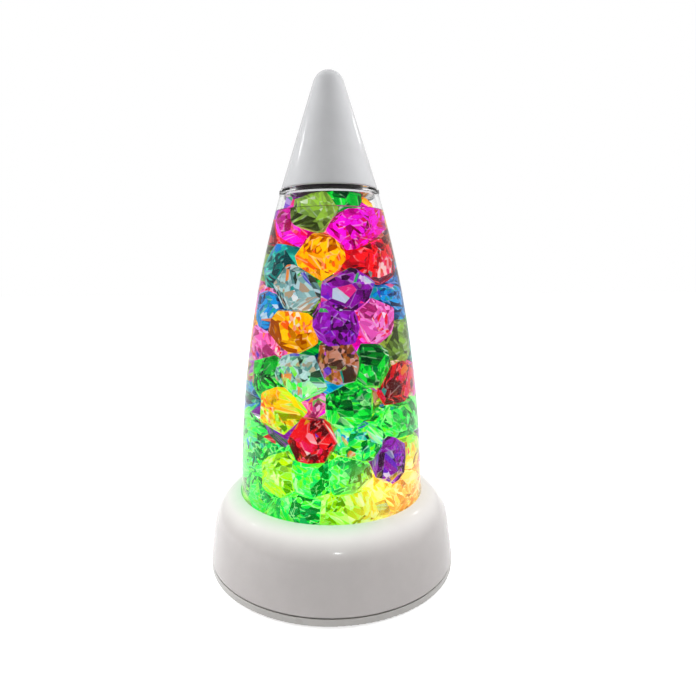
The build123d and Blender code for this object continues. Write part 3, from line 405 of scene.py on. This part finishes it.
class Finish(Nodes):
    """One material's node tree, with patterns on Object coordinates."""

    def __init__(self, name):
        self.material = bpy.data.materials.new(name)
        self.material.use_nodes = True
        super().__init__(self.material.node_tree)
        self.shader = self.tree.nodes["Principled BSDF"]
        self.place = self.add("ShaderNodeTexCoord").outputs["Object"]

    def set(self, **values):
        """Feeds the shader's inputs; a name's underscores stand for spaces."""
        for name, value in values.items():
            self.feed(self.shader.inputs[name.replace("_", " ")], value)
        return self

    def noise(self, scale, detail=2.0, roughness=0.5, place=None):
        """Noise on Object coordinates, from 0 to 1."""
        node = self.add("ShaderNodeTexNoise")
        self.feed(node.inputs["Vector"], place or self.place)
        for name, value in (("Scale", scale), ("Detail", detail), ("Roughness", roughness)):
            node.inputs[name].default_value = value
        return node.outputs["Fac"]

    def cells(self, scale, output="Color", feature="F1", place=None):
        """Cells of a Voronoi pattern on Object coordinates."""
        node = self.add("ShaderNodeTexVoronoi", feature=feature)
        self.feed(node.inputs["Vector"], place or self.place)
        node.inputs["Scale"].default_value = scale
        return node.outputs[output]

    def borders(self, scale, place, full, end):
        """Lines between those cells, full up to one distance from the border and gone at another."""
        return self.ramp(self.cells(scale, "Distance", "DISTANCE_TO_EDGE", place), (full, 1.0), (end, 0.0))

    def stretched(self, scale, place):
        """Coordinates scaled along each axis."""
        node = self.add("ShaderNodeMapping")
        node.inputs["Scale"].default_value = scale
        self.feed(node.inputs["Vector"], place)
        return node.outputs["Vector"]

    def ramp(self, value, *stops, mode="LINEAR"):
        """Colour ramp through (position, colour or grey level) stops."""
        node = self.add("ShaderNodeValToRGB")
        node.color_ramp.interpolation = mode
        points = node.color_ramp.elements
        while len(points) < len(stops):
            points.new(0.5)
        for point, (position, colour) in zip(points, stops):
            point.position = position
            point.color = (*colour, 1) if hasattr(colour, "__len__") else (colour, colour, colour, 1)
        self.feed(node.inputs["Fac"], value)
        return node.outputs["Color"]

    def mix(self, share, first, second):
        """Blends two colours by a share."""
        node = self.add("ShaderNodeMix", data_type="RGBA")
        self.feed(node.inputs["Factor"], share)
        for socket, value in ((node.inputs["A"], first), (node.inputs["B"], second)):
            self.feed(socket, value if isinstance(value, bpy.types.NodeSocket) else (*value, 1))
        return node.outputs["Result"]

    def axes(self):
        """The X, Y and Z of Object coordinates."""
        node = self.add("ShaderNodeSeparateXYZ")
        self.feed(node.inputs[0], self.place)
        return node.outputs

    def radius(self):
        """Distance from the Z axis."""
        axes = self.axes()
        squares = [self.times(axes[axis], axes[axis]) for axis in "XY"]
        return self.math("SQRT", self.plus(*squares))

    def attribute(self, name):
        """A number that the mesh holds on its faces."""
        return self.add("ShaderNodeAttribute", attribute_name=name).outputs["Fac"]

    def bump(self, height, strength, distance):
        """Bump from a height, joined to the shader's normal."""
        node = self.add("ShaderNodeBump")
        node.inputs["Strength"].default_value = strength
        node.inputs["Distance"].default_value = distance
        self.feed(node.inputs["Height"], height)
        self.feed(self.shader.inputs["Normal"], node.outputs["Normal"])
        return self


def dress(piece, finish):
    """Gives a piece this finish alone."""
    piece.data.materials.clear()
    piece.data.materials.append(finish.material)


def dress_node(node, finish):
    """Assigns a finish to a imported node's material slots."""
    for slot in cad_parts[node].material_slots:
        slot.material = finish.material


def linear(level):
    """Linear value of a screen level from 0 to 255."""
    return ((level / 255 + 0.055) / 1.055) ** 2.4 if level > 10 else level / 255 / 12.92


def shade(colour, factor):
    """A colour made darker or lighter."""
    return tuple(min(1.0, value * factor) for value in colour)


def light_spill(finish, strength):
    """Lights the ring around the vessel's foot, green at the left, warm at the right, fading outwards."""
    opening = settings().housing.opening
    radius = finish.radius()
    near = finish.spread(radius, opening + SPILL_FADE, opening + SPILL_END, 1, 0, "SMOOTHSTEP")
    side = finish.spread(finish.axes()["X"], *SPILL_SIDE, 0, 1, "SMOOTHSTEP")
    lamp = finish.mix(side, (0.28, 1.0, 0.40), (1.0, 0.98, 0.8))
    outwards = finish.spread(radius, opening, opening + SPILL_WHITE, 0, 0.92)
    lamp = finish.mix(outwards, lamp, (1.0, 1.0, 0.97))
    finish.set(Emission_Color=lamp, Emission_Strength=finish.times(near, strength))


def light_hollow(finish, strength, foot, low, slope):
    """Lights the faces within the cone of this foot radius, foot height and slope, fading upwards."""
    rise = finish.minus(finish.axes()["Z"], low)
    cone = finish.plus(finish.radius(), finish.times(rise, slope))
    within = finish.spread(cone, foot - HOLLOW_FULL, foot - HOLLOW_END, strength, 0)
    lit = finish.times(within, finish.spread(rise, *HOLLOW_FADE, 1, 0))
    finish.set(Emission_Color=(1, 1, 1, 1), Emission_Strength=lit)


def white_moulding(name, colour, roughness):
    """Glossy white moulding: faint mottling, soft changes of gloss and a fine orange-peel skin."""
    finish = Finish(name)
    mottle = finish.ramp(finish.noise(90, 4, 0.6), (0.3, shade(colour, 0.97)), (0.7, shade(colour, 1.02)))
    haze = finish.spread(finish.noise(35, 3, 0.55), 0.25, 0.75, roughness * 0.85, roughness * 1.25)
    finish.set(Base_Color=mottle, Roughness=haze)
    finish.set(Specular_IOR_Level=0.5, Coat_Weight=0.3, Coat_Roughness=0.08)
    return finish.bump(finish.noise(700, 2, 0.5), 0.04, SKIN)


def clear_plastic(name):
    """Clear polished acrylic with a faint change of gloss."""
    finish = Finish(name)
    haze = finish.spread(finish.noise(60, 3, 0.5), 0.3, 0.8, 0.0, 0.012)
    finish.set(Base_Color=(0.985, 0.99, 0.99, 1), Transmission_Weight=1.0, IOR=1.46)
    return finish.set(Specular_Tint=(0.05, 0.05, 0.05, 1), Roughness=haze)


def clear_liquid(name):
    """Clear liquid, a little green from the light below."""
    finish = Finish(name)
    glow = settings().glow
    rise = finish.spread(finish.axes()["Z"], glow.liquid_low, glow.liquid_low + glow.reach, 0, 1)
    tint = finish.ramp(rise, (0.0, (0.90, 1.0, 0.93)), (1.0, (0.985, 0.995, 0.995)))
    finish.set(Base_Color=tint, Transmission_Weight=1.0, IOR=1.36)
    return finish.set(Specular_Tint=(0.02, 0.02, 0.02, 1), Roughness=0.0)


def shard_place(finish, facet):
    """Object coordinates, turned about a slanted axis by each gem's and facet's own angle, and stretched."""
    gem = finish.add("ShaderNodeNewGeometry").outputs["Random Per Island"]
    turn = finish.add("ShaderNodeVectorRotate")
    turn.inputs["Axis"].default_value = SHARD_AXIS
    finish.feed(turn.inputs["Vector"], finish.place)
    finish.feed(turn.inputs["Angle"], finish.times(finish.plus(gem, facet), math.tau))
    return finish.stretched(SHARD_SCALE, turn.outputs["Vector"])


def other_shards(finish, shards, tone, foreign):
    """A tone with a share of shards in other gems' colours: one share low down and one high up."""
    picks = finish.add("ShaderNodeSeparateColor")
    finish.feed(picks.inputs["Color"], finish.cells(settings().gems.others, place=shards))
    palette = (tuple(linear(value) for value in other) for other in OTHER_TONES)
    stops = [(number / len(OTHER_TONES), other) for number, other in enumerate(palette)]
    height = finish.axes()["Z"]
    share = finish.spread(height, UPPER_HEIGHT - UPPER_BLEND, UPPER_HEIGHT + UPPER_BLEND, *foreign)
    where = finish.times(finish.math("LESS_THAN", picks.outputs["Green"], share), OTHER_MIX)
    return finish.mix(where, tone, finish.ramp(picks.outputs["Red"], *stops, mode="CONSTANT"))


def gem_light(finish, level, warm):
    """The base's light in a gem's shards: amber low on the right, elsewhere green, or lime in a warm gem."""
    glow = settings().glow
    left, right = tuple(glow.left), tuple(glow.right)
    greens = [(0.2, shade(left, 0.2)), (0.36, (0.01, 0.42, 0.11)), (0.45, left), (0.54, (0.2, 0.78, 0.0))]
    greens += [(0.62, left), (0.74, (0.03, 1.0, 0.14)), (0.94, (0.4, 1.0, 0.3))]
    limes = [(0.2, (0.06, 0.24, 0.0)), (0.38, (0.26, 0.56, 0.0)), (0.5, (0.62, 0.78, 0.0))]
    limes += [(0.62, (0.2, 0.85, 0.04)), (0.76, (0.5, 1.0, 0.1)), (0.94, (0.85, 1.0, 0.4))]
    ambers = [(0.2, shade(right, 0.5)), (0.45, right), (0.65, (1.0, 0.7, 0.12)), (0.85, (1.0, 0.9, 0.45))]
    axes = finish.axes()
    side = finish.spread(axes["X"], 0.0, glow.amber_side, 0, 1, "SMOOTHSTEP")
    side = finish.times(side, finish.spread(axes["Z"], glow.amber_low, glow.amber_high, 1, 0))
    left_lit = finish.ramp(level, *(limes if warm else greens))
    return finish.mix(side, left_lit, finish.ramp(level, *ambers))


def gem_finish(name, tones, takes, foreign):
    """Cut gem in painted light and shade: every facet has its own tone, from dark to pale, and is split into
    shards, as if back facets showed through it.

    The shards are cells of three sizes, turned and stretched anew for each gem and facet. Some of them show
    the colours of other gems. The base's light falls off with height; each colour takes its own share of it,
    and all of them take it near the floor.
    """
    glow, cut = settings().glow, settings().gems
    dark, main, bright, accent = (tuple(linear(value) for value in tone) for tone in tones)
    # Near-white of the gem's painted highlights: palest shards, lines on shard borders and pale polished
    # edges
    pale = tuple(value * 0.4 + 0.6 for value in bright)
    finish = Finish(name)
    height = finish.axes()["Z"]
    facet = finish.attribute("facet")
    shards = shard_place(finish, facet)
    large, middle, small = (finish.cells(size, place=shards) for size in (cut.large, cut.middle, cut.small))
    # Pale lines on the large shards' borders: painted highlights
    border_glints = finish.borders(cut.large, shards, 0.015, 0.04)
    lines = finish.borders(cut.middle, shards, 0.02, 0.06)
    busy = finish.spread(finish.math("FRACT", finish.times(facet, SECOND_CHANCE)), 0.2, 0.5, *SMALL_WEIGHT)
    own, cast = finish.times(facet, FACET_WEIGHT), finish.times(large, LARGE_WEIGHT)
    detail = finish.times(finish.minus(small, 0.5), busy)
    level = finish.plus(finish.plus(own, cast), finish.plus(detail, LEVEL_LIFT))
    # Painted shade (dark), the gem's colour, painted light (bright), the accent and a painted highlight
    # (pale)
    stops = [(0.20, shade(dark, 0.7)), (0.28, dark), (0.37, shade(main, 0.65)), (0.47, main), (0.55, bright)]
    stops += [(0.63, bright), (0.69, main), (0.76, accent), (0.86, accent), (0.98, pale)]
    tone = other_shards(finish, shards, finish.ramp(level, *stops), foreign)
    tone = finish.mix(finish.times(border_glints, finish.spread(small, 0.45, 0.6, 0, BORDER_GLINT_MIX)), tone, pale)
    # Polished edges painted pale or dark by chance: painted highlight and painted shade
    rim = finish.mix(finish.spread(facet, 0.4, 0.8, 0, 0.8), shade(dark, 0.8), pale)
    tone = finish.mix(finish.times(finish.attribute("edge"), EDGE_MIX), tone, rim)
    taken = finish.spread(height, glow.near_low, glow.near_high, max(takes, NEAR_SHARE), takes, "SMOOTHSTEP")
    fall = finish.spread(height, glow.gem_low, glow.gem_low + glow.reach, 1, 0, "SMOOTHSTEP")
    fall = finish.times(fall, taken)
    glint = finish.times(lines, finish.spread(small, 0.35, 0.6, 0, GLINT_MIX))
    lamp = finish.mix(glint, gem_light(finish, level, main[0] > WARM_RED), (0.6, 1.0, 0.5))
    catch = finish.plus(fall, finish.times(finish.minus(middle, 0.5), CATCH_CHANCE))
    lit = finish.mix(finish.spread(catch, 0.35, 0.6, 0, 1), tone, lamp)
    strength = finish.plus(cut.light, finish.times(fall, glow.strength))
    finish.set(Base_Color=lit, Emission_Color=lit, Emission_Strength=strength)
    return finish.set(Roughness=0.04, Transmission_Weight=0.15, IOR=1.12)


def rubber(name, colour):
    """Matte rubber with a dusty bloom and a fine grain."""
    finish = Finish(name)
    bloom = finish.ramp(finish.noise(120, 4, 0.6), (0.35, colour), (0.75, shade(colour, 1.7)))
    finish.set(Base_Color=bloom, Roughness=finish.spread(finish.noise(300), 0.3, 0.7, 0.55, 0.8))
    return finish.bump(finish.noise(2500, 2, 0.6), 0.25, GRAIN)


def plain_plastic(name, colour, roughness):
    """Moulded plastic with a fine sparked grain."""
    finish = Finish(name)
    tone = finish.ramp(finish.noise(200, 3, 0.6), (0.3, shade(colour, 0.85)), (0.7, shade(colour, 1.15)))
    haze = finish.spread(finish.noise(500), 0.3, 0.7, roughness * 0.8, roughness * 1.2)
    finish.set(Base_Color=tone, Roughness=haze)
    return finish.bump(finish.cells(1800, "Distance"), 0.15, GRAIN)


def plated_metal(name, colour, roughness):
    """Plated metal with fine draw lines and small stains."""
    finish = Finish(name)
    lines = finish.noise(900, 3, 0.6, finish.stretched((1, 1, 12), finish.place))
    tone = finish.ramp(finish.noise(350, 4, 0.6), (0.3, shade(colour, 0.7)), (0.65, colour))
    haze = finish.spread(lines, 0.2, 0.8, roughness * 0.7, roughness * 1.4)
    finish.set(Base_Color=tone, Metallic=1.0, Roughness=haze)
    return finish.bump(lines, 0.1, GRAIN)


def circuit_board(name):
    """Lacquered board: green mask, paler tracks in a square pattern and small tinned pads."""
    finish = Finish(name)
    tracks = finish.add("ShaderNodeTexVoronoi", distance="CHEBYCHEV", voronoi_dimensions="2D")
    finish.feed(tracks.inputs["Vector"], finish.place)
    tracks.inputs["Scale"].default_value = 220
    away = tracks.outputs["Distance"]
    lines = finish.ramp(away, (0.30, (0.01, 0.10, 0.04)), (0.36, (0.03, 0.20, 0.08)), mode="CONSTANT")
    pads = finish.ramp(finish.cells(420, "Distance"), (0.0, 1.0), (0.14, 0.0), mode="CONSTANT")
    finish.set(Base_Color=finish.mix(pads, lines, (0.75, 0.74, 0.70)))
    finish.set(Roughness=finish.spread(finish.noise(300), 0.3, 0.7, 0.2, 0.35))
    return finish.bump(away, 0.1, GRAIN)


def light_lens(name):
    """Pale resin with a lit green-white middle on each package."""
    finish = Finish(name)
    top = finish.spread(finish.axes()["Z"], *LENS_HEIGHTS, 0, 1)
    finish.set(Base_Color=finish.mix(top, (0.85, 0.85, 0.82), (0.7, 0.95, 0.6)), Roughness=0.25)
    lit = finish.times(top, 3.0)
    return finish.set(Emission_Color=(0.35, 1.0, 0.45, 1), Emission_Strength=lit)


def cell_sleeve(name):
    """Plain dark sleeve with a bare metal ring and nub at the ends of each cell."""
    finish = Finish(name)
    along = finish.math("ABSOLUTE", finish.axes()["Y"])
    bare = finish.math("GREATER_THAN", along, SLEEVE_HALF)
    scuff = finish.ramp(finish.noise(400, 4, 0.6), (0.35, (0.03, 0.03, 0.034)), (0.8, (0.07, 0.07, 0.075)))
    finish.set(Base_Color=finish.mix(bare, scuff, (0.6, 0.6, 0.58)), Metallic=bare)
    return finish.set(Roughness=finish.spread(finish.noise(500), 0.3, 0.7, 0.22, 0.4))


# Operators


class GEMLAMP_OT_housing(bpy.types.Operator):
    """Turns the white cone and the base shell, and finishes the plate and its door"""

    bl_idname = "gemlamp.housing"
    bl_label = "White housing"

    def execute(self, context):
        sizes = settings().housing
        white = white_moulding("white_moulding", tuple(sizes.white), roughness=0.14)
        light_hollow(white, sizes.hollow, *self.cone(sizes))
        cone = turned("cone_cap", self.cone_outline(sizes))
        dress(cone, white)
        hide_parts("cap")
        lit = white_moulding("lit_moulding", tuple(sizes.warm_white), roughness=0.16)
        light_spill(lit, sizes.spill)
        shell = turned("base_housing", self.shell_outline(sizes))
        dress(shell, lit)
        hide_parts("base_shell")
        plate = white_moulding("plate_moulding", tuple(sizes.plate), roughness=0.3)
        dress_node("base_plate", plate)
        dress_node("battery_door", plate)
        return {"FINISHED"}

    def cone(self, sizes):
        """Foot radius, foot height and slope of the cone that is tangent to the ball tip."""
        low = CAP_LOW.z
        rise = CAP_HIGH.z - sizes.cap_tip - low
        reach = math.hypot(sizes.cap_foot, rise)
        lean = math.atan2(sizes.cap_foot, rise) - math.asin(sizes.cap_tip / reach)
        return sizes.cap_foot, low, math.tan(lean)

    def cone_outline(self, sizes):
        """Cone tangent to a ball tip outside, with a rounded foot, and the same drawn in by the wall inside.

        A web joins a sleeve to the cone inside.
        """
        foot, low, slope = self.cone(sizes)
        lean = math.atan(slope)
        out = np.array([math.cos(lean), math.sin(lean)])
        centre = (0.0, CAP_HIGH.z - sizes.cap_tip)
        ball = sizes.cap_tip - sizes.cap_wall
        meet, meet_in = tuple(centre + sizes.cap_tip * out), tuple(centre + ball * out)
        foot_in = foot - sizes.cap_wall / math.cos(lean)
        rim = rounded([(foot_in, low), (foot, low), meet], sizes.edge_round, slice(0, 2))
        wall = np.linspace((foot, low), meet, CONE_POINTS)[1:-1]
        tip = arc(meet, (0.0, CAP_HIGH.z), centre, CONE_POINTS)
        tip_in = arc((0.0, centre[1] + ball), meet_in, centre, TIP_POINTS)
        bore = settings().vessel.neck + SLEEVE_GAP
        web_top = WEB_HIGH + WEB_RISE
        sleeve = [
            (foot_in - slope * web_top, low + web_top),
            (bore, low + WEB_HIGH),
            (bore, low),
            (bore + SLEEVE_WALL, low),
            (bore + SLEEVE_WALL, low + WEB_LOW),
            (foot_in - slope * WEB_LOW, low + WEB_LOW),
        ]
        return np.vstack([rim, wall, tip, tip_in, sleeve])

    def shell_outline(self, sizes):
        """Leaning side, rolled shoulder, collar down to the seat, and the same drawn in by the wall."""
        low, high, foot = SHELL_LOW.z, sizes.shell_top, sizes.shell_foot
        foot_in = foot - sizes.shell_wall
        opening, bore, seat = sizes.opening, sizes.seat_bore, sizes.seat_height
        collar, under = opening + sizes.collar_wall, seat - sizes.collar_wall
        side = np.array([sizes.shoulder_radius - foot, sizes.shoulder_height - low])
        skip = SHELL_START / side[1]
        outer = self.roll((foot, low), side, skip, (opening, high))
        inner = self.roll((foot_in, low), side, skip, (collar, high - sizes.shell_wall))
        rim = rounded([(foot_in, low), (foot, low), tuple(outer[0])], sizes.edge_round, slice(1, 2))
        lip = rounded([tuple(outer[-2]), (opening, high), (opening, seat)], sizes.lip_round, slice(1, 2))
        ledge = [(opening, seat), (bore, seat), (bore, under), (collar, under)]
        return np.vstack([rim, outer[:-1], lip, ledge, inner[::-1]])

    def roll(self, start, side, skip, end):
        """Straight side less a first share, then the circle that leaves it smoothly and meets the end."""
        corner = np.add(start, side)
        normal = np.array([-side[1], side[0]]) / np.hypot(*side)
        gap = np.subtract(end, corner)
        radius = gap @ gap / (2 * gap @ normal)
        centre = corner + normal * radius
        line = np.linspace(np.add(start, side * skip), corner, SHELL_POINTS)[:-1]
        return np.vstack([line, arc(tuple(corner), end, tuple(centre), ROLL_POINTS)])


class GEMLAMP_OT_vessel(bpy.types.Operator):
    """Turns the clear vessel with its floor, lip, shoulder and neck"""

    bl_idname = "gemlamp.vessel"
    bl_label = "Clear vessel"

    def execute(self, context):
        vessel = turned("clear_vessel", self.outline(settings().vessel))
        dress(vessel, clear_plastic("clear_acrylic"))
        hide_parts("vessel")
        return {"FINISHED"}

    def outline(self, sizes):
        """Rounded foot, long side arc, lip, shoulder and neck, and the same drawn in by the walls."""
        bottom, top = VESSEL_LOW.z, VESSEL_HIGH.z
        floor = bottom + sizes.floor
        wall_top = sizes.shoulder - sizes.lip
        inner_top = sizes.shoulder - sizes.shoulder_wall
        heights = np.linspace(bottom + SIDE_START, wall_top, VESSEL_POINTS)
        outer = np.column_stack([vessel_radius(heights), heights])
        heights = np.linspace(inner_top - SHOULDER_EASE, floor + FLOOR_ROUND, VESSEL_POINTS)
        inner = np.column_stack([vessel_radius(heights, sizes.wall), heights])
        foot = float(vessel_radius(bottom)) - FOOT_ROUND
        corner = arc((foot, bottom), tuple(outer[0]), (foot, bottom + FOOT_RISE), FOOT_POINTS)[:-1]
        lip = float(vessel_radius(wall_top)) + sizes.lip_proud
        shoulder, neck, bore = sizes.shoulder, sizes.neck, sizes.bore
        lip_points = [tuple(outer[-1]), (lip, wall_top), (lip, shoulder), (neck, shoulder)]
        neck_points = [(neck, top), (bore, top), (bore, inner_top), tuple(inner[0])]
        head = rounded(lip_points + neck_points, sizes.edge_round, slice(1, 7))
        slope = (float(vessel_radius(inner_top, sizes.wall)) - SHOULDER_EASE, inner_top)
        last, height = (float(value) for value in inner[-1])
        flat = last - FLOOR_ROUND
        floor_edge = arc((last, height), (flat, floor), (flat, height), FLOOR_POINTS)[1:]
        return np.vstack([[(0, bottom)], corner, outer, head, [slope], inner, floor_edge, [(0, floor)]])


class GEMLAMP_OT_liquid(bpy.types.Operator):
    """Turns the body of liquid, with a surface that climbs the wall"""

    bl_idname = "gemlamp.liquid"
    bl_label = "Liquid"

    def execute(self, context):
        liquid = turned("clear_liquid", self.outline(settings().vessel))
        dress(liquid, clear_liquid("clear_liquid"))
        return {"FINISHED"}

    def outline(self, sizes):
        """The vessel's inner side, and a surface that falls away from the wall exponentially."""
        bottom = VESSEL_LOW.z + sizes.floor - sizes.lap
        heights = np.linspace(bottom, sizes.level + sizes.meniscus, LIQUID_POINTS)
        side = np.column_stack([vessel_radius(heights, sizes.wall - sizes.lap), heights])
        wall = side[-1][0]
        radius = np.linspace(wall - LIQUID_RIM, 0.0, SURFACE_POINTS)
        climb = sizes.meniscus * np.exp((radius - wall) / (CLIMB_WIDTH * sizes.meniscus))
        surface = np.column_stack([radius, sizes.level + climb])
        return np.vstack([[(0, bottom)], side, surface])


class GEMLAMP_OT_gems(bpy.types.Operator):
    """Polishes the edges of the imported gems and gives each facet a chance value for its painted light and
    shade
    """

    bl_idname = "gemlamp.gems"
    bl_label = "Gems"

    def execute(self, context):
        bevel = settings().gems.bevel
        chance = np.random.default_rng(CHANCE_SEED)
        for node in sorted(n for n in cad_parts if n.startswith("gems_")):
            hue = node.removeprefix("gems_")
            piece = self.polish(node, "cut_" + node, bevel, chance)
            dress(piece, gem_finish(f"{hue}_gem", *GEM_TONES[hue]))
            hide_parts(node)
        return {"FINISHED"}

    def polish(self, node, name, bevel, chance):
        """Copies a node, merges its triangles into facets, and cuts a narrow strip along each edge."""
        work = bmesh.new()
        work.from_mesh(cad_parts[node].data)
        bmesh.ops.remove_doubles(work, verts=work.verts, dist=GEM_MERGE)
        bmesh.ops.dissolve_limit(work, angle_limit=FLAT_ANGLE, verts=work.verts, edges=work.edges)
        facet = work.faces.layers.float.new("facet")
        edge = work.faces.layers.float.new("edge")
        for face, value in zip(work.faces, chance.random(len(work.faces))):
            face[facet] = value
        cut = {"offset": bevel, "offset_type": "OFFSET", "segments": 1, "profile": 0.5, "affect": "EDGES"}
        strips = bmesh.ops.bevel(work, geom=work.edges, clamp_overlap=True, **cut)["faces"]
        for face, value in zip(strips, chance.random(len(strips))):
            face[edge] = 1.0
            face[facet] = value
        mesh = bpy.data.meshes.new(name)
        work.to_mesh(mesh)
        work.free()
        return put(name, mesh)


class GEMLAMP_OT_inside(bpy.types.Operator):
    """Finishes the stopper, seals, light board, cells, switch and fasteners"""

    bl_idname = "gemlamp.inside"
    bl_label = "Stopper and inner parts"

    def execute(self, context):
        dark = rubber("dark_rubber", (0.035, 0.026, 0.03))
        for node in ("stopper", "rubber_feet"):
            dress_node(node, dark)
        dress_node("seat_gasket", rubber("grey_rubber", (0.4, 0.4, 0.4)))
        dress_node("reflector", white_moulding("reflector_white", (0.85, 0.85, 0.85), roughness=0.2))
        dress_node("led_board", circuit_board("board_lacquer"))
        dress_node("leds", light_lens("light_lens"))
        black = plain_plastic("black_moulding", (0.02, 0.02, 0.022), roughness=0.45)
        for node in ("control_chip", "switch_body", "switch_slider"):
            dress_node(node, black)
        steel = plated_metal("plated_steel", (0.62, 0.61, 0.58), roughness=0.3)
        for node in ("board_screws", "switch_screws", "plate_screws", "door_screw"):
            dress_node(node, steel)
        dress_node("battery_contacts", plated_metal("nickel_sheet", (0.72, 0.70, 0.66), roughness=0.22))
        dress_node("battery_cells", cell_sleeve("cell_sleeve"))
        dress_node("switch_leads", plain_plastic("lead_sleeve", (0.55, 0.03, 0.02), roughness=0.35))
        return {"FINISHED"}


class GEMLAMP_OT_stage(bpy.types.Operator):
    """Sets the floor, the studio lights, the white surround and the camera"""

    bl_idname = "gemlamp.stage"
    bl_label = "Stage"

    def execute(self, context):
        setup = settings().stage
        scene = context.scene
        scene.view_settings.view_transform = "Standard"
        scene.cycles.max_bounces = 28
        scene.cycles.transmission_bounces = 28
        scene.cycles.transparent_max_bounces = 16
        self.floor(setup)
        self.surround(scene, setup)
        self.lights(setup)
        camera = bpy.data.objects.new("camera", bpy.data.cameras.new("camera"))
        camera.data.sensor_width = 36
        camera.data.lens = setup.lens
        camera.data.shift_x = setup.shift
        camera.data.clip_start = 0.01
        turn = Matrix.Rotation(math.radians(90) - setup.pitch, 4, "X") @ Matrix.Rotation(setup.roll, 4, "Z")
        camera.matrix_world = Matrix.Translation((0, -setup.distance, setup.height)) @ turn
        scene.collection.objects.link(camera)
        scene.camera = camera
        return {"FINISHED"}

    def lights(self, setup):
        """Soft lights that gloss doesn't show, at the sides and above, and small strips that it does."""
        side, strip = setup.side_power, setup.strip_power
        right, front = side * setup.right_share, strip * setup.front_share
        self.light("left_softbox", (-0.42, 0.02, 0.38), (0, 0, 0.20), (0.25, 0.3), side)
        self.light("right_softbox", (0.42, 0.02, 0.38), (0, 0, 0.24), (0.25, 0.3), right, spread=80)
        self.light("top_softbox", (0, 0.05, 1.6), (0, 0, 0), (1.35, 1.35), setup.top_power)
        self.light("right_strip", (0.58, 0.54, 0.66), (0, 0, 0.22), (0.05, 0.05), strip, mirrored=True)
        self.light("left_strip", (-0.70, 0.22, 0.72), (0, 0, 0.21), (0.05, 0.05), strip, mirrored=True)
        self.light("front_strip", (0.07, -0.66, 0.45), (0, -0.06, 0.03), (0.05, 0.015), front, mirrored=True)

    def light(self, name, place, target, size, power, mirrored=False, spread=180):
        """Rectangular light aimed at a point, its beam's spread in degrees; gloss shows a mirrored one."""
        lamp = bpy.data.lights.new(name, "AREA")
        lamp.shape = "RECTANGLE"
        lamp.size, lamp.size_y = size
        lamp.energy = power
        lamp.spread = math.radians(spread)
        holder = bpy.data.objects.new(name, lamp)
        aim = (Vector(target) - Vector(place)).to_track_quat("-Z", "Y")
        holder.matrix_world = Matrix.Translation(place) @ aim.to_matrix().to_4x4()
        holder.visible_glossy = mirrored
        holder.visible_transmission = False
        bpy.context.scene.collection.objects.link(holder)

    def floor(self, setup):
        """Large pale floor: white to the camera, with the lamp's shadow, and clear from below."""
        corners = [(x * FLOOR_HALF, y * FLOOR_HALF, 0) for x, y in ((-1, -1), (1, -1), (1, 1), (-1, 1))]
        mesh = bpy.data.meshes.new("studio_floor")
        mesh.from_pydata(corners, [], [(0, 1, 2, 3)])
        floor = bpy.data.objects.new("studio_floor", mesh)
        bpy.context.scene.collection.objects.link(floor)
        finish = Finish("floor_white")
        finish.set(Base_Color=(*setup.floor, 1), Roughness=0.6, Specular_IOR_Level=0.0)
        below = finish.add("ShaderNodeNewGeometry").outputs["Backfacing"]
        finish.set(Alpha=finish.minus(1.0, below))
        white = finish.spread(finish.radius(), *FLOOR_RISE, FLOOR_NEAR, 1.0, "SMOOTHSTEP")
        lit = finish.times(finish.seen(), white)
        finish.set(Emission_Color=(1, 1, 1, 1), Emission_Strength=lit)
        dress(floor, finish)

    def surround(self, scene, setup):
        """White all round for what is seen, and softer for what lights the lamp."""
        world = bpy.data.worlds.new("studio_surround")
        scene.world = world
        world.use_nodes = True
        nodes = Nodes(world.node_tree)
        back = world.node_tree.nodes["Background"]
        back.inputs["Color"].default_value = (1, 1, 1, 1)
        nodes.feed(back.inputs["Strength"], nodes.spread(nodes.seen(), 0, 1, setup.surround, 1))


class GEMLAMP_PT_panel(bpy.types.Panel):
    """Lists the lamp's steps in the sidebar"""

    bl_idname = "GEMLAMP_PT_panel"
    bl_label = "Gem Lamp"
    bl_space_type = "VIEW_3D"
    bl_region_type = "UI"
    bl_category = "Gem Lamp"

    def draw(self, context):
        for step in STEPS:
            self.layout.operator(step.bl_idname)
        for group in ("housing", "vessel", "gems", "glow", "stage"):
            box = self.layout.box()
            box.label(text=group.title())
            values = getattr(settings(), group)
            for name in values.__annotations__:
                box.prop(values, name)


STEPS = (
    GEMLAMP_OT_housing,
    GEMLAMP_OT_vessel,
    GEMLAMP_OT_liquid,
    GEMLAMP_OT_gems,
    GEMLAMP_OT_inside,
    GEMLAMP_OT_stage,
)
GROUPS = (HousingSettings, VesselSettings, GemSettings, GlowSettings, StageSettings, LampSettings)


def register():
    """Registers the settings, the steps and the panel."""
    for kind in (*GROUPS, *STEPS, GEMLAMP_PT_panel):
        bpy.utils.register_class(kind)
    bpy.types.Scene.gem_lamp = PointerProperty(type=LampSettings)


def unregister():
    """Takes them away again."""
    del bpy.types.Scene.gem_lamp
    for kind in reversed((*GROUPS, *STEPS, GEMLAMP_PT_panel)):
        bpy.utils.unregister_class(kind)


def main():
    """Builds the lamp step by step."""
    register()
    bpy.ops.gemlamp.housing()
    bpy.ops.gemlamp.vessel()
    bpy.ops.gemlamp.liquid()
    bpy.ops.gemlamp.gems()
    bpy.ops.gemlamp.inside()
    bpy.ops.gemlamp.stage()
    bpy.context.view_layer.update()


if __name__ == "__main__":
    main()
